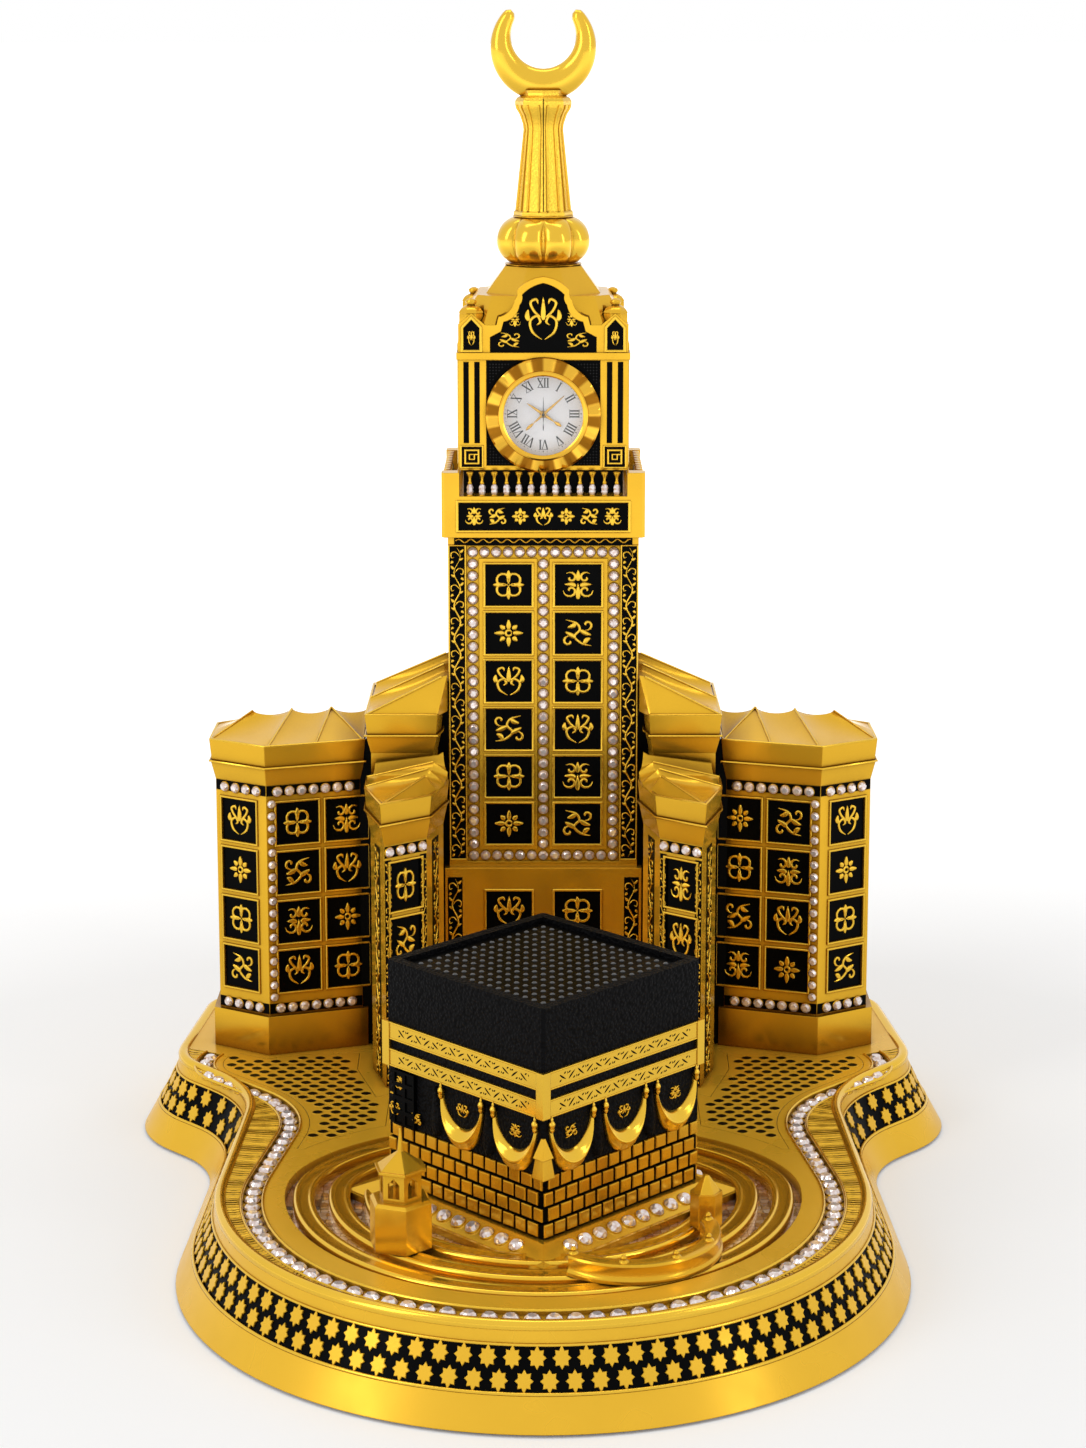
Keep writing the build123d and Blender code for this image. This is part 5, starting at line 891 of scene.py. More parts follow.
def dial_print():
    """Hour numerals and a minute track in black on the dial."""
    ink = Shape()
    dial = front_place(0, CLOCK_CENTRE, 128.59)
    tall, film, thick, thin = 3.1, 0.05, 0.42, 0.18
    for hour, word in enumerate(NUMERALS):
        place = dial @ turned("Z", -30 * hour) @ shift(0, 8.2)
        at = -sum(LETTER_WIDTHS[letter] for letter in word) / 2
        for letter in word:
            half = LETTER_WIDTHS[letter] / 2
            left, middle, right = ((at + half * k) * tall for k in (0.12, 1.0, 1.88))
            at += 2 * half
            strokes = {"I": (((middle, 0), (middle, tall), thick),),
                       "V": (((left, tall), (middle, 0), thick), ((right, tall), (middle, 0), thin)),
                       "X": (((left, tall), (right, 0), thick), ((right, tall), (left, 0), thin))}[letter]
            for start, end, width in strokes:
                ink.bar(start, end, width, film, place)
            for height in (0.07, tall - 0.07):
                if letter != "V" or height > 1:
                    ink.bar((left - 0.05, height), (right + 0.05, height), 0.14, film, place)
    for minute in range(60):
        low, width = (11.75, 0.09) if minute % 5 else (11.6, 0.22)
        ink.bar((0, low), (0, 12.1), width, film, dial @ turned("Z", -6 * minute))
    make_piece("dial_print", ink, BLACK_PLASTIC)


def clock_hand(name, node, body, angle, reach, tail, width, depth, material):
    """A slender hand with a ridged back, a counterweight and a round boss."""
    hand = Shape()
    place = front_place(0, CLOCK_CENTRE, depth) @ turned("Z", -angle)

    def widths(t):
        if t < 0.22:
            return width * (0.25 + 0.9 * sin(pi * min(t / 0.2, 1.0)) ** 0.7)
        return width * max(0.25 + 0.75 * sin(pi * ((t - 0.22) / 0.78) ** 0.7), 0.05)

    hand.strap([(0, -tail + (reach + tail) * n / 24) for n in range(25)], widths, 0.18, place)
    hand.lathe([(0.0, 0.3), (0.5, 0.3), (width, 0.2), (width * 1.15, 0.0), (0.0, 0.0)], 20, place)
    make_piece(name, hand, material, body=body, replaces=(node,), angle=30)


def head_inlays():
    """Black enamel in the slots, squares and niches of the head, with the gold work on it."""
    inlay, gold, dots = Shape(), Shape(), Shape()
    arch = front_place(0, 257.0, HOUSING_FRONT + 0.48)
    add_ornament(gold, 0, arch @ shift(0, 1.4), 6.6, 7.6, 1.0, 0.5)
    for side in (-1, 1):
        x = side * 22.35
        for apart in (-1.7, 1.7):
            inlay.prism(box(1.55, 25.3), 0.3, front_place(x + apart, 232.25, HOUSING_FRONT + 0.68), 0.1)
        square = front_place(x, 215.2, HOUSING_FRONT)
        inlay.prism(box(6.5, 6.5), 0.14, square)
        for size, width, rise in ((3.6, 0.62, 0.42), (1.1, 0.5, 0.42), (6.3, 0.55, 0.4)):
            gold.frame(box(size, size), width, rise, square)
        gold.bar((0.8, 0.75), (2.1, 0.75), 0.4, 0.36, square)
        niche = front_place(x, 252.7, HOUSING_FRONT)
        house = [(-2.5, -3.9), (2.5, -3.9), (2.5, 2.9), (0, 5.5), (-2.5, 2.9)]
        inlay.prism(house, 0.14, niche)
        gold.frame(house, 0.9, 0.55, niche)
        add_ornament(gold, 0, front_place(x, 252.4, HOUSING_FRONT - 0.16), 1.3, 2.6, 0.42, 0.35)
        add_ornament(gold, 4, arch @ shift(side * 10.6, -5.2), 4.2, 2.9, 0.6, 0.4, side)
        add_ornament(gold, 2, arch @ shift(side * 8.8, 1.2), 2.0, 2.6, 0.45, 0.35)
        for low in (-1, 1):
            for n, k in ((n, k) for n in range(8) for k in range(8 - n)):
                x, z = 16.6 - 0.95 * n, 15.6 - 0.95 * k
                if hypot(x, z) > 18.9:
                    spot = front_place(side * x, CLOCK_CENTRE + 0.2 + low * z, HOUSING_FRONT + 0.4)
                    dots.prism([polar(0.3, a) for a in turns(4)], 0.16, spot, 0.1)
    make_piece("head_inlays", inlay, BLACK_ENAMEL)
    make_piece("head_gold", gold, BRIGHT_GOLD)
    make_piece("field_dots", dots, BLACK_PLASTIC)


def balcony_rail():
    """Turned balusters with crystal vases, before the black wall of the head."""
    gold, crystal, wall = Shape(), Shape(), Shape()
    pitch, floor = 3.82, 203.6
    spots = [(n * pitch, 121.6) for n in range(-6, 7)]
    spots += [(side * 30.2, 148.0 + n * pitch) for side in (-1, 1) for n in range(-5, 6)]
    for x, y in spots:
        place = shift(x, y, floor)
        gold.lathe([(0, 0), (1.1, 0), (1.1, 0.35), (0.6, 0.5), (0, 0.5)], 8, place)
        crystal.lathe([(0, 0.4), (0.75, 0.45), (1.12, 1.2), (0.95, 1.9), (1.12, 2.5), (0.9, 3.2),
                       (0.45, 3.7), (0, 3.7)], 7, place)
        gold.lathe([(0, 3.6), (0.55, 3.6), (0.72, 4.0), (0.42, 4.6), (0.4, 5.4), (0.62, 6.2), (1.05, 6.9),
                    (1.1, 7.4), (0, 7.4)], 10, place)
    wall.prism(box(50.04, 45.0), 7.3, shift(0, AXIS_Y, floor + 0.02))
    make_piece("balusters_turned", gold, GOLD, replaces=("balusters",))
    make_piece("baluster_vases", crystal, STONE, angle=20)
    make_piece("rail_wall", wall, BLACK_ENAMEL)


def tower_front():
    """Vines on black strips beside the tower's tiles, frames round the tiles, a wavy line on top."""
    strips, vines = Shape(), Shape()
    strips.prism(box(56.0, 2.9), 0.12, front_place(0, 188.8, TOWER_FRONT))
    wave = [(-27.5 + 0.5 * n, 0.55 * sin(n * 0.82)) for n in range(111)]
    vines.strap(wave, lambda t: 0.55, 0.4, front_place(0, 188.9, TOWER_FRONT - 0.1))
    for side in (-1, 1):
        for x, z, y, tall in ((27.1, 136.4, TOWER_FRONT, 101.5), (28.2, 54.0, FOOT_FRONT, 52.0)):
            strips.prism(box(4.7, tall), 0.12, front_place(side * x, z, y))
            add_vine(vines, front_place(side * x, z, y - 0.1), tall - 1.0, 2.3, 5.4, 0.62)
        vines.frame(box(4.7, 101.5), 0.5, 0.45, front_place(side * 27.1, 136.4, TOWER_FRONT))
        for rows, top, y in ((6, 174.75, TOWER_FRONT), (3, 68.85, FOOT_FRONT)):
            for n in range(rows):
                vines.frame(box(14.6, 13.2), 0.75, 0.5, front_place(side * 10.95, top - 15.52 * n, y))
    vines.frame(box(53.0, 8.7), 0.8, 0.5, front_place(0, 197.25, 120.0))
    make_piece("tower_strips", strips, BLACK_ENAMEL)
    make_piece("tower_vines", vines, BRIGHT_GOLD)


# Cube: side 0 faces the viewer's left, side 1 the right

def cube_place(side, x, z, out=0.0):
    """A frame on a wall of the cube: X to the right, Y up, Z outwards."""
    normal = Vector(polar(1, radians(90 * side - 135), 0))
    right = UP.cross(normal)
    return facing(right, UP, normal, normal * (31.1 + out) + right * x + UP * z)


def roof_beads():
    """Rows of small raised ovals on the sunk roof of the cube."""
    beads = Shape()
    pitch = 3.45
    oval = Matrix.Diagonal((1.0, 0.62, 1.0, 1.0))
    for i, k in ((i, k) for i in range(-7, 8) for k in range(-7, 8)):
        spot = turned("Z", 45) @ Vector((i * pitch, k * pitch, 90.55))
        beads.lathe([(0, 0.5), (0.45, 0.42), (0.85, 0.0), (0, 0.0)], 10, shift(*spot) @ oval)
    make_piece("roof_beads", beads, BLACK_BEAD, angle=80)


def belt_marks():
    """Small dark leaves and strokes cut along both belts, and their raised borders."""
    marks, borders = Shape(), Shape()
    draw = random.Random("belts")
    count = 15
    for side in range(4):
        for low in (61.4, 69.2):
            wall = cube_place(side, 0, low + 2.55, 0.58)
            for n in range(count):
                x = (n - (count - 1) / 2) * 52.0 / count
                flip = 1 if n % 2 else -1
                lean = draw.uniform(0.7, 1.2)
                stem = smooth_line([(x - 1.3, -flip * lean), (x, 0.1 * flip), (x + 1.3, flip * lean)], 3)
                leaves = [[(x + dx + a, flip * dy + b) for a, b in ((-0.5, -0.3), (0, 0), (0.5, 0.35))]
                          for dx, dy in ((-0.9, 0.9), (0.8, -1.0))]
                stroke = [(x + dx, -flip * dy) for dx, dy in ((1.6, 1.3), (1.9, 0.8), (1.8, 0.4))]
                for line, width in ((stem, 0.55), (leaves[0], 0.6), (leaves[1], 0.6), (stroke, 0.45)):
                    marks.strap(line, leaf_width(width), 0.12, wall)
            for height in (-2.3, 2.3):
                borders.strap([(-31.0, height), (0, height), (31.0, height)], lambda t: 0.55, 0.22, wall)
    make_piece("belt_marks", marks, BLACK_ENAMEL)
    make_piece("belt_borders", borders, BRIGHT_GOLD)


def add_swag(shape, place, width, drop):
    """A gathered cloth hanging in a crescent, with long soft folds."""
    rings = []
    for n in range(33):
        lean = pi / 2 * (n / 16 - 1)
        x, fall = sin(lean), max(cos(lean), 0.0)
        outer = Vector((0.5 * width * x, -drop * fall ** 0.85))
        inner = Vector((0.45 * width * x, -drop * 0.6 * fall ** 1.05 + 0.3))
        swell = 0.3 + 0.7 * fall
        ring = []
        for share in (k / 12 for k in range(13)):
            height = swell * (2.6 * sin(pi * share) ** 0.7 + 0.16 * sin(share * pi * 5))
            ring.append(place @ Vector((*inner.lerp(outer, share), max(height, 0.0))))
        rings.append(ring)
    shape.loft(rings)


def cube_drapes():
    """Swags with their beads, sprigs inside them and dark folds between them."""
    gold, cloth, sprigs = Shape(), Shape(), Shape()
    pitch = 20.73
    for side in range(4):
        bays = (0, 1) if side == 0 else (-1, 0, 1)
        for bay in bays:
            add_swag(gold, cube_place(side, bay * pitch, 59.2), 16.8, 15.0)
            sprig = cube_place(side, bay * pitch, 55.6, 0.05)
            add_ornament(sprigs, (4, 0, 2)[bay + 1], sprig, 2.7, 2.1, 0.55, 0.4)
        for x in sorted(bay * pitch + end for bay in bays for end in (-8.0, 8.0)):
            stand = cube_place(side, x, 58.6, 0.9) @ turned("X", -90)
            gold.lathe([(0, -1.4), (0.5, -1.2), (0.75, -0.4), (0.6, 0.2), (0.85, 0.5), (0.95, 1.1),
                        (0.7, 1.7), (0.35, 2.0), (0.45, 2.4), (0.2, 3.0), (0, 3.3)], 10, stand)
        for x in sorted({(bay + half) * pitch for bay in bays for half in (-0.5, 0.5)}):
            if abs(x) < 30.0:
                cloth.strap(smooth_line([(x, z) for z in (60.0, 55.0, 50.0, 45.6)]),
                            lambda t: 0.8 + 4.6 * sin(pi * t ** 1.6), 1.1, cube_place(side, 0, 0))
    for kind, x, z, size in ((2, -24.6, 57.4, 2.3), (0, -27.0, 49.3, 2.2), (4, -18.2, 48.6, 2.0)):
        add_ornament(sprigs, kind, cube_place(0, x, z, 0.6), size * 1.1, size, 0.6, 0.4)
    sprigs.strap([(-29.0, 53.6), (-24.0, 53.2), (-19.2, 53.6)], lambda t: 0.7, 0.5,
                 cube_place(0, 0, 0, 0.3))
    make_piece("gold_swags", gold, BRIGHT_GOLD, replaces=("cube_swags",), angle=55)
    make_piece("dark_folds", cloth, BLACK_CLOTH, angle=60)
    make_piece("cube_sprigs", sprigs, GOLD)


def cube_bricks():
    """Courses of gold bricks on the black foot of the cube."""
    bricks = Shape()
    draw = random.Random("bricks")
    count, corner = 13, 30.4
    pitch = 61.0 / count
    for side, course in ((side, course) for side in range(4) for course in range(4)):
        for n in range(count):
            x = (n - (count - 1) / 2 + (0.25 if course % 2 else -0.25)) * pitch
            left, right = max(x - pitch * 0.41, -corner), min(x + pitch * 0.41, corner)
            wall = cube_place(side, (left + right) / 2, 29.3 + 4.5 * course, -0.62)
            tilt = Matrix.Rotation(draw.uniform(-0.05, 0.05), 4, "Y")
            tilt @= Matrix.Rotation(draw.uniform(-0.04, 0.04), 4, "X")
            bricks.prism(box(right - left, 3.65), 0.8, wall @ tilt, 0.3)
    make_piece("gold_bricks", bricks, GOLD, angle=25)


# Court: rings with raised edges, the low wall, the perforated deck

def court_rings():
    """Ring mouldings with two bright edges; their rear halves are flatter ellipses."""
    rings = Shape()
    edge = ((0, -3.0), (0, -0.9), (0.3, -0.3), (0.9, 0), (1.5, -0.1), (1.8, -0.25), (2.1, -0.28))
    profile = [*edge, *((6.2 - inset, height) for inset, height in reversed(edge))]
    for radius in (70.6, 60.6, 50.6):
        loop = []
        for angle in turns(144):
            depth = radius - (20.5 if angle < pi else 0)
            loop.append([Vector(((radius - inset) * cos(angle), (depth - inset) * sin(angle) - 2.4,
                                 DECK + height)) for inset, height in profile])
        rings.loft(loop, closed=True)
    make_piece("moulded_rings", rings, BRIGHT_GOLD, replaces=("court_rings",), angle=50)


def low_wall():
    """The curved wall in the court, with a foot moulding, a rounded top and five knobs."""
    wall = Shape()
    profile = [(20.2, 25.0), (25.3, 25.0), (25.3, 26.0), (24.8, 26.4), (24.6, 26.8), (24.6, 29.2),
               (24.8, 29.7), (24.5, 30.3), (23.6, 30.5), (21.4, 30.5), (20.5, 30.3), (20.2, 29.7)]
    place = shift(23.0, -43.0)
    angles = [radians(-132 + 148 * n / 60) for n in range(61)]
    wall.loft([[place @ Vector(polar(r, angle, z)) for r, z in profile] for angle in angles])
    for angle in (-132, -95, -58, -21, 16):
        wall.lathe([(0, 0), (1.5, 0), (1.3, 0.5), (0.7, 0.8), (0.9, 1.3), (0.5, 1.9), (0, 2.1)], 10,
                   place @ shift(*polar(22.5, radians(angle), 30.3)))
    make_piece("curved_wall", wall, GOLD, replaces=("arc_wall",), angle=45)


def top_outlines(name):
    """The two longest edge loops round the top of a node's flat plates, and the height of the top."""
    work = node_mesh(name)
    top = max(v.co.z for v in work.verts)
    rim = {e.index: e for e in work.edges if all(abs(v.co.z - top) < 1e-5 for v in e.verts)
           and any(abs(f.normal.z) < 0.5 for f in e.link_faces)}
    loops = []
    while rim:
        start, here = rim.pop(min(rim)).verts
        loop = [start]
        while here is not start:
            loop.append(here)
            step = next(e for e in here.link_edges if e.index in rim)
            del rim[step.index]
            here = step.other_vert(here)
        loops.append([(v.co.x / MM, v.co.y / MM) for v in loop])
    work.free()
    loops.sort(key=lambda loop: -sum((Vector(a) - Vector(b)).length for a, b in zip(loop, loop[1:])))
    return sorted(loops[:2]), top / MM


def pierced_deck():
    """Deck plates with rows of small eye-shaped openings, each a thin black patch with a rim: painted shade
    where the dark below would show.
    """
    plates, hole_shades = Shape(), Shape()
    loops, top = top_outlines("deck_panels")
    eye = [(1.6 * cos(a) * abs(cos(a)) ** 0.35, 1.55 * sin(a)) for a in turns(16)]
    for loop in loops:
        if sum(a[0] * b[1] - b[0] * a[1] for a, b in zip(loop, loop[1:] + loop[:1])) < 0:
            loop.reverse()
        plates.prism(loop, 1.5, shift(0, 0, top - 1.5))
        left, low = (min(p[k] for p in loop) + 1.0 for k in (0, 1))
        for row, column in ((row, column) for row in range(30) for column in range(24)):
            x, y = left + (column + 0.5 * (row % 2)) * 5.5, low + row * 3.2
            if inside((x, y), loop) and clearance((x, y), loop) > 1.9:
                at = shift(x, y, top - 0.04)
                # Each opening is a thin black plate on the deck, painted shade in place of a hole.
                hole_shades.prism(eye, 0.08, at)
                plates.frame(eye, 0.16, 0.16, at)
    make_piece("deck_plates", plates, SATIN_GOLD, replaces=("deck_panels",))
    make_piece("deck_hole_shade", hole_shades, BLACK_ENAMEL)


# Roofs, spire and the walls of the wings

# Ridges of the wing roofs, viewer's left, each with its foot, crest and far end; then how deep the
# sheet hangs between each two, and where the cap ends
ROOFS = {
    "outer": ((((-105.2, 119.4, 126), (-105.3, 130, 126.2), (-105.2, 141, 126)),
               ((-105.0, 119.2, 126), (-93.3, 135, 131.6), (-96.5, 148.5, 126)),
               ((-86.2, 109.4, 126), (-80.9, 137, 131.8), (-82.0, 150.5, 126)),
               ((-71.4, 114.0, 126), (-68.4, 138, 132.0), (-69.0, 150.5, 126)),
               ((-57.2, 118.6, 126), (-68.2, 138.1, 132.0), (-66.0, 150.5, 126)),
               ((-56.8, 119.0, 126), (-56.8, 138, 131.4), (-56.8, 150.5, 126))),
              (0.25, 0.3, 0.3, 0.06, 0.25), 126.0),
    "inner": ((((-49.2, 76.7, 116), (-38.5, 84.6, 116), (-34.6, 87.5, 116)),
               ((-48.6, 77.4, 116.1), (-36.6, 95, 120.2), (-32.6, 93.0, 116)),
               ((-54.9, 96.3, 116.6), (-35.8, 99.5, 121.4), (-30.7, 101.0, 116.4)),
               ((-55.1, 108.3, 116.6), (-34.2, 105.0, 122.2), (-29.9, 106.4, 118.6)),
               ((-52.8, 111.3, 120.3), (-32.9, 111.4, 122.9), (-31.4, 111.4, 123.8))),
              (0.0, 0.4, 0.4, 0.4), 116.0),
    "mid": ((((-55.5, 112.6, 135.4), (-33.6, 112.6, 135.4), (-33.2, 112.8, 135.4)),
             ((-55.4, 112.9, 135.6), (-32.0, 119.0, 146.3), (-30.3, 119.6, 146.6)),
             ((-55.2, 130, 137.0), (-31.8, 136, 146.7), (-30.3, 136.4, 147.0)),
             ((-54.3, 149, 137.6), (-31.6, 152, 146.9), (-30.3, 152.2, 147.2)),
             ((-55.4, 157.3, 135.6), (-31.8, 157.3, 141), (-30.3, 157.3, 141.4))),
            (0.0, 0.32, 0.32, 0.2), 135.4)}


def hung_sheet(shape, cords, ridges, hollows, base, flip):
    """A closed skin that hangs in a hollow between each two straight ridges, with cords on the ridges."""
    lines = []
    for ridge in ridges:
        foot, crest, end = (Vector((p[0] * flip, p[1], p[2])) for p in ridge)
        lines.append([foot.lerp(crest, n / 12) for n in range(12)])
        lines[-1] += [crest.lerp(end, n / 6) for n in range(7)]
    rings = []

    def add_row(line, sag):
        rings.append([])
        for n, p in enumerate(line):
            pull = min(sag * (2.3 - 1.3 * min(n / 12, 1.0)), 0.9)
            rings[-1].append(Vector((p.x, p.y, base + (p.z - base) * (1.0 - pull) + 0.05)))
        rings[-1] += [Vector((p.x, p.y, base - 0.4)) for p in reversed(line)]

    for first, second, hollow in zip(lines, lines[1:], hollows):
        for share in (n / 12 for n in range(12)):
            add_row([a.lerp(b, share) for a, b in zip(first, second)], hollow * sin(pi * share) ** 0.6)
    add_row(lines[-1], 0.0)
    shape.loft(rings)
    for line in lines[1:-1]:
        along = (line[12] - line[0]).normalized()
        side = along.cross(UP).normalized() * 0.34
        cords.sweep(line[:13], side, side.cross(along), [polar(1, a) for a in turns(6)])


def capped_wings():
    """The castings of the six wings up to their caps, with pleated roofs on them."""
    cords = Shape()
    for side, flip in (("left", 1), ("right", -1)):
        for wing, (ridges, hollows, cap_top) in ROOFS.items():
            node = f"{wing}_wing_{side}"
            work = node_mesh(node)
            height = cap_top * MM
            bmesh.ops.bisect_plane(work, geom=work.verts[:] + work.edges[:] + work.faces[:],
                                   plane_co=(0, 0, height), plane_no=UP, clear_outer=True)
            rim = [e for e in work.edges
                   if e.is_boundary and all(abs(v.co.z - height) < 1e-5 for v in e.verts)]
            bmesh.ops.holes_fill(work, edges=rim, sides=0)
            work.verts.index_update()
            casting = Shape()
            faces = [[v.index for v in face.verts] for face in work.faces]
            casting.add([v.co / MM for v in work.verts], faces)
            work.free()
            hung_sheet(casting, cords, ridges, hollows, cap_top, flip)
            make_piece(f"{wing}_casting_{side}", casting, ROOF_GOLD, replaces=(node,), angle=30)
    make_piece("ridge_cords", cords, BRIGHT_GOLD, angle=60)


def wing_wall(plan, first):
    """The frame of a wing's wall from its left foot corner: X along, Y up, Z outwards; and its length."""
    body = outline_offset(plan, -1.8)
    start, end = Vector((*body[first], 0)), Vector((*body[(first + 1) % len(body)], 0))
    right = (end - start).normalized()
    return facing(right, UP, right.cross(UP), start), (end - start).length


def wing_dress():
    """Edge mouldings of the caps, tile frames, black strips with vines on the walls, and black blocks of
    painted shade in the seams where the wings meet each other and the tower.
    """
    gold, black = Shape(), Shape()
    caps = ((OUTER_PLAN, 119.0, 126.0), (INNER_PLAN, 109.2, 116.0), (MID_PLAN, 128.8, 135.4))
    for plan, waist, top in caps:
        for side in BOTH_SIDES:
            gold.frame(outline_offset(plan, -0.9), 0.9, 0.45, side @ shift(0, 0, top - 0.05))
            gold.frame(outline_offset(plan, -0.35), 0.6, 0.5, side @ shift(0, 0, waist - 0.2))
    front, front_length = wing_wall(INNER_PLAN, 0)
    flank, corner = (wing_wall(OUTER_PLAN, first)[0] for first in (1, 0))
    # Columns of four tiles: wall, middle, tile width and height, pitch and middle of the top tile
    columns = ((flank, 10.0, 13.6, 13.6, 16.2, 100.4),
               (flank, 26.0, 13.6, 13.6, 16.2, 100.4),
               (corner, 8.8, 13.2, 13.6, 16.2, 100.4),
               (front, front_length / 2, 11.6, 15.3, 17.8, 88.75))
    for side in BOTH_SIDES:
        for wall, x, width, height, pitch, top in columns:
            for row in range(4):
                gold.frame(box(width, height), 0.7, 0.5, side @ wall @ shift(x, top - row * pitch))
        for first, z in ((first, z) for first in (0, 1) for z in (111.25, 39.7)):
            place, length = wing_wall(OUTER_PLAN, first)
            black.prism(box(length - 0.3, 3.3), 0.1, side @ place @ shift(length / 2, z))
        black.prism(box(front_length - 0.3, 3.6), 0.1, side @ front @ shift(front_length / 2, 100.1))
        for x in (1.35, front_length - 1.35):
            strip = side @ front @ shift(x, 61.5)
            black.prism(box(2.3, 72.0), 0.12, strip)
            add_vine(gold, strip @ shift(0, 0, 0.1), 71.0, 1.1, 4.4, 0.42)
        for first in (1, 5):
            place, length = wing_wall(INNER_PLAN, first)
            strip = side @ place @ shift(length / 2, 63.0)
            black.prism(box(min(length - 1.0, 6.6), 74.0), 0.12, strip)
            add_vine(gold, strip @ shift(0, 0, 0.1), 73.0, 2.6, 5.2, 0.6)
        # Black blocks in the seams where the wings meet each other and the tower: painted shade in those
        # gaps.
        for x, y, width, top, depth in ((-56.2, 121.0, 4.7, 125.8, 1.0), (-32.9, 127.0, 6.6, 134.0, 1.0),
                                        (-31.1, 150.0, 2.6, 135.0, 21.0)):
            middle = (top + DECK) / 2
            black.prism(box(width, top - DECK), depth, side @ front_place(x, middle, y))
    make_piece("wing_mouldings", gold, BRIGHT_GOLD)
    make_piece("wing_strips_and_seam_shade", black, BLACK_ENAMEL)


def rear_frames():
    """Raised frames on the plain rear walls and on the sides of the clock housing."""
    frames = Shape()
    walls = []
    for name, start, out, width, height in (
            ("tower_body", (0, 300, 122.0), (0, 1, 0), 48.0, 120.0),
            ("clock_housing", (0, 300, 229.0), (0, 1, 0), 42.0, 40.0),
            ("clock_housing", (-300, AXIS_Y, 229.0), (-1, 0, 0), 34.0, 40.0),
            ("clock_housing", (300, AXIS_Y, 229.0), (1, 0, 0), 34.0, 40.0)):
        out = Vector(out)
        spot = NODES[name].ray_cast(Vector(start) * MM, -out)[1] / MM
        walls.append((facing(UP.cross(out), UP, out, spot), width, height))
    place, length = wing_wall(OUTER_PLAN, 3)
    walls += [(side @ place @ shift(length / 2, 78.0), 24.0, 66.0) for side in BOTH_SIDES]
    for place, width, height in walls:
        frames.frame(box(width, height), 1.4, 0.5, place)
        frames.frame(box(width - 5.2, height - 5.2), 0.6, 0.35, place)
        add_ornament(frames, 0, place, width * 0.22, width * 0.22, 1.6, 0.5)
    make_piece("rear_frames", frames, BRIGHT_GOLD)


def add_rib(shape, angle, profile, section):
    """A rib up the spire's axis at an angle, along (radius, height) points."""
    out = Vector(polar(1, angle, 0))
    shape.sweep([Vector((0, AXIS_Y, z)) + out * r for r, z in profile], UP.cross(out), out, section)


def lobed_bulb():
    """Eight round lobes with a rib between each two, on a stepped neck."""
    bulb = Shape()

    def lobe(angle, radius, height):
        swell = max(sin(pi * (height - 273.3) / 15.6), 0.0)
        return radius * (1.0 - 0.2 * swell ** 0.6 * (1.0 - abs(sin(4 * angle)) ** 0.55)), height

    def bow(radius, reach, count):
        leans = [radians(reach * (2 * n / count - 1)) for n in range(count + 1)]
        return [(radius * cos(lean) ** 0.62, 281.1 + 8.3 * sin(lean)) for lean in leans]

    profile = [(0, 273.3), (11.8, 273.3), (12.6, 273.8), *bow(15.45, 64, 17)[1:], (9.9, 288.7),
               (9.6, 288.9), (0, 288.9)]
    bulb.lathe(profile, 128, shift(0, AXIS_Y), lobe)
    rib = ((-0.75, -0.6), (-0.45, 0.45), (0, 0.7), (0.45, 0.45), (0.75, -0.6))
    for angle in turns(8, -pi / 2):
        add_rib(bulb, angle, bow(12.7, 60, 12), rib)
    make_piece("lobed_bulb", bulb, BRIGHT_GOLD, replaces=("spire_bulb",), angle=45)


SPIRE_PROFILE = ((9.4, 288.9), (9.4, 290.0), (8.9, 290.6), (6.3, 315.7), (6.5, 317.5), (7.5, 320.4),
                 (8.7, 322.4), (8.9, 323.4), (8.9, 324.6), (8.3, 325.6), (6.9, 326.4), (6.7, 327.2),
                 (6.9, 328.0))


def fluted_spire():
    """Eight-sided shaft with a corner to the front, ribs on its corners and tooled faces between them."""
    shaft, ribs, joint = Shape(), Shape(), Shape()
    corners = turns(8, -pi / 2)
    axis = Vector((0, AXIS_Y, 0))
    shaft.loft([[axis + Vector(polar(r, a, z)) for a in corners] for r, z in SPIRE_PROFILE])
    for angle in (corner + lean for corner in corners for lean in (-0.17, 0.17)):
        add_rib(ribs, angle, [(r * 0.985, z) for r, z in SPIRE_PROFILE[2:8]],
                ((-0.4, -0.7), (-0.25, 0.12), (0.25, 0.12), (0.4, -0.7)))
    for angle in (corners[0], corners[4]):
        add_rib(joint, angle, SPIRE_PROFILE[2:10],
                ((-0.16, -0.3), (-0.16, 0.06), (0.16, 0.06), (0.16, -0.3)))
    make_piece("tooled_shaft", shaft, TOOLED_GOLD, replaces=("spire_shaft",), angle=20)
    make_piece("shaft_ribs", ribs, BRIGHT_GOLD)
    make_piece("shaft_joint", joint, BLACK_ENAMEL)


def domed_turrets():
    """Eight-sided corner posts with a domed shoulder and a ball."""
    turrets = Shape()
    for x, y in ((x, y) for x in (-22.5, 22.5) for y in (130.0, 170.0)):
        place = shift(x, y, 256.5) @ turned("Z", 22.5)
        turrets.lathe([(0, 0), (4.0, 0), (4.0, 3.0), (3.9, 3.4), (4.1, 3.6), (3.9, 4.0), (3.2, 4.9),
                       (2.2, 5.5), (1.5, 5.8), (1.2, 6.0), (0, 6.0)], 8, place)
        turrets.lathe([(0, 5.8), (1.0, 5.9), (1.6, 6.3), (1.8, 6.9), (1.5, 7.5), (0.7, 7.9), (0, 8.0)],
                      16, place)
    make_piece("domed_turrets", turrets, GOLD, replaces=("corner_turrets",), angle=30)


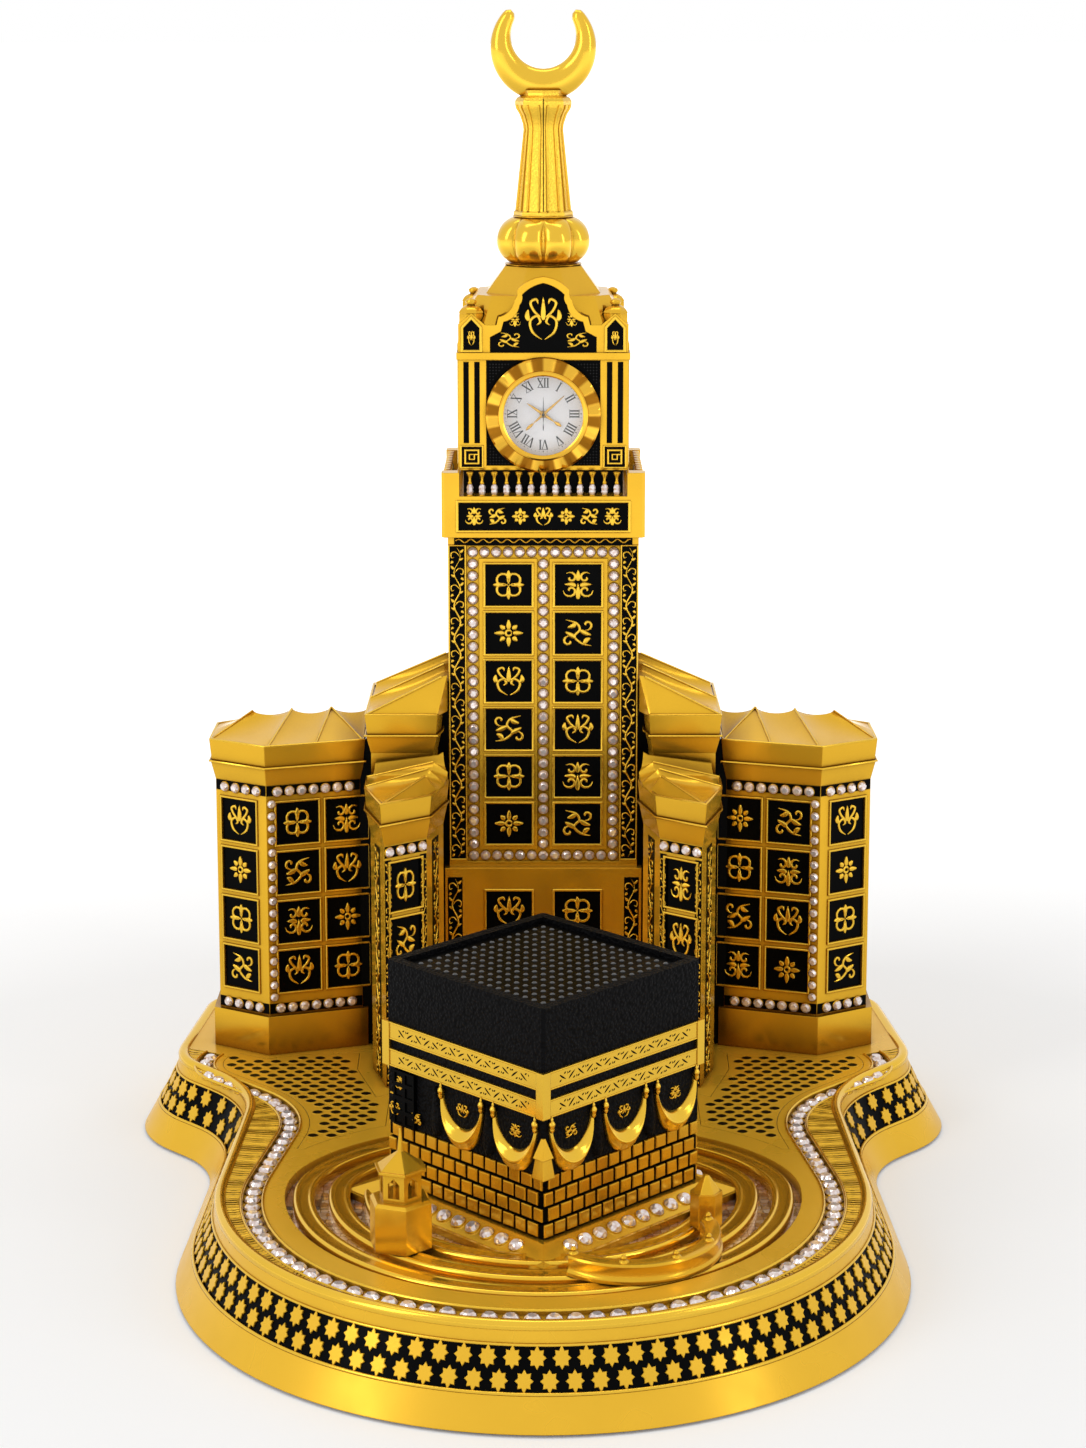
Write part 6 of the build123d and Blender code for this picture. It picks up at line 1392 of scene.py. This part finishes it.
def round_crescent():
    """The crescent with a round section, fullest at the foot and blunt at its tips."""
    moon = Shape()
    centre = Vector((0, AXIS_Y, 341.1))
    outer, inner, rise = 16.6, 10.2, 3.8  # rise is how far the inner circle stands above the outer one
    half_count = 32
    rings = []
    for n in range(-half_count, half_count + 1):
        x, z = polar(1, -pi / 2 + radians(139) * n / half_count)
        ray = Vector((x, 0, z))
        near = rise * z + sqrt((rise * z) ** 2 - rise ** 2 + inner ** 2)
        half = (outer - near) / 2 * min(1.0, 0.45 + (half_count - abs(n)) / 2)
        depth = min(3.5, half * 0.95)
        rings.append([centre + ray * ((outer + near) / 2 + half * cos(a)) + Vector((0, depth * sin(a), 0))
                      for a in turns(20)])
    moon.loft(rings)
    make_piece("round_crescent", moon, BRIGHT_GOLD, replaces=("crescent",), angle=50)


# The pieces

set_stones("border_stones", "court_stones", 2.35, 1.5)
set_stones("tower_gems", "tower_stones", 1.75, 1.2)
set_stones("wing_gems", "wing_stones", 1.75, 1.2)
ornament_tiles()
base_trims()
tooled_strip()
band_stars()
clock_bezel()
dial_print()
clock_hand("hour_leaf", "hour_hand", "hour", 304, 6.2, 6.8, 1.0, 127.5, GOLD)
clock_hand("minute_leaf", "minute_hand", "minute", 48, 8.8, 7.4, 0.85, 126.8, GOLD)
clock_hand("second_needle", "second_hand", "seconds", 0, 5.6, 5.0, 0.3, 126.1, BLACK_ENAMEL)
head_inlays()
balcony_rail()
tower_front()
roof_beads()
belt_marks()
cube_drapes()
cube_bricks()
court_rings()
low_wall()
pierced_deck()
capped_wings()
rear_frames()
wing_dress()
lobed_bulb()
fluted_spire()
domed_turrets()
round_crescent()


# Camera, light and floor

def make_camera():
    """The camera that was solved from the photograph's level edges; its numbers are in pixels."""
    focal, wide, tall = 3000.0, 1086.0, 1448.0
    centre_x, centre_y = 543.3, 579.0
    camera = bpy.data.objects.new("camera", bpy.data.cameras.new("camera"))
    SCENE.collection.objects.link(camera)
    camera.data.sensor_fit = "VERTICAL"
    camera.data.sensor_height = 36.0
    camera.data.lens = focal / tall * 36.0
    camera.data.shift_y = -(tall / 2 - centre_y) / tall
    camera.data.shift_x = (wide / 2 - centre_x) / tall
    camera.data.clip_end = 100.0
    camera.location = (0.0, -0.804, 0.3505)
    camera.rotation_euler = (radians(90.0 - 10.61), 0.0, 0.0)
    SCENE.camera = camera


def make_lamp(name, place, aim, size, power):
    """A rectangular lamp that looks at a point."""
    lamp = bpy.data.lights.new(name, "AREA")
    lamp.shape = "RECTANGLE"
    lamp.size, lamp.size_y = size
    lamp.energy = power
    holder = bpy.data.objects.new(name, lamp)
    SCENE.collection.objects.link(holder)
    holder.location = place
    holder.rotation_euler = (Vector(aim) - Vector(place)).to_track_quat("-Z", "Y").to_euler()


def make_world():
    """Even pale light, with the background white to the camera, to mirrors and through glass."""
    world = bpy.data.worlds.new("studio")
    SCENE.world = world
    world.use_nodes = True
    tree = world.node_tree
    rays = add_node(tree, "LightPath").outputs
    seen = maths(tree, "MAXIMUM", maths(tree, "MAXIMUM", rays["Is Camera Ray"], rays["Is Glossy Ray"]),
                 rays["Is Transmission Ray"])
    join(tree, tree.nodes["Background"], {
        "Color": (1, 1, 1, 1),
        "Strength": map_range(tree, seen, 0.0, 1.0, 0.75, 1.0)})


def make_floor():
    """A pale floor that glows into white away from the clock."""
    material, tree, shader = new_material("pale_floor")
    glow = map_range(tree, length_of(tree, object_place(tree)), 0.3, 1.2, 0.12, 1.0)
    join(tree, shader, {
        "Base Color": (0.82, 0.82, 0.82, 1),
        "Roughness": 0.9,
        "Emission Strength": 1.0,
        "Emission Color": mix_colour(tree, glow, (0, 0, 0, 1), (1, 1, 1, 1))})
    mesh = bpy.data.meshes.new("floor")
    mesh.from_pydata([(*p, 0) for p in box(80.0, 80.0)], [], [(0, 1, 2, 3)])
    mesh.materials.append(material)
    floor = bpy.data.objects.new("floor", mesh)
    SCENE.collection.objects.link(floor)


make_camera()
make_world()
make_floor()
make_lamp("key_light", (-1.1, -0.7, 0.9), (0, 0.05, 0.15), (0.45, 1.1), 5.0)
make_lamp("fill_light", (0.9, -0.5, 0.6), (0, 0.05, 0.15), (0.1, 0.7), 1.2)
make_lamp("top_light", (0.0, 0.3, 1.5), (0, 0.0, 0.1), (1.2, 0.3), 2.6)
SCENE.view_settings.view_transform = "Standard"
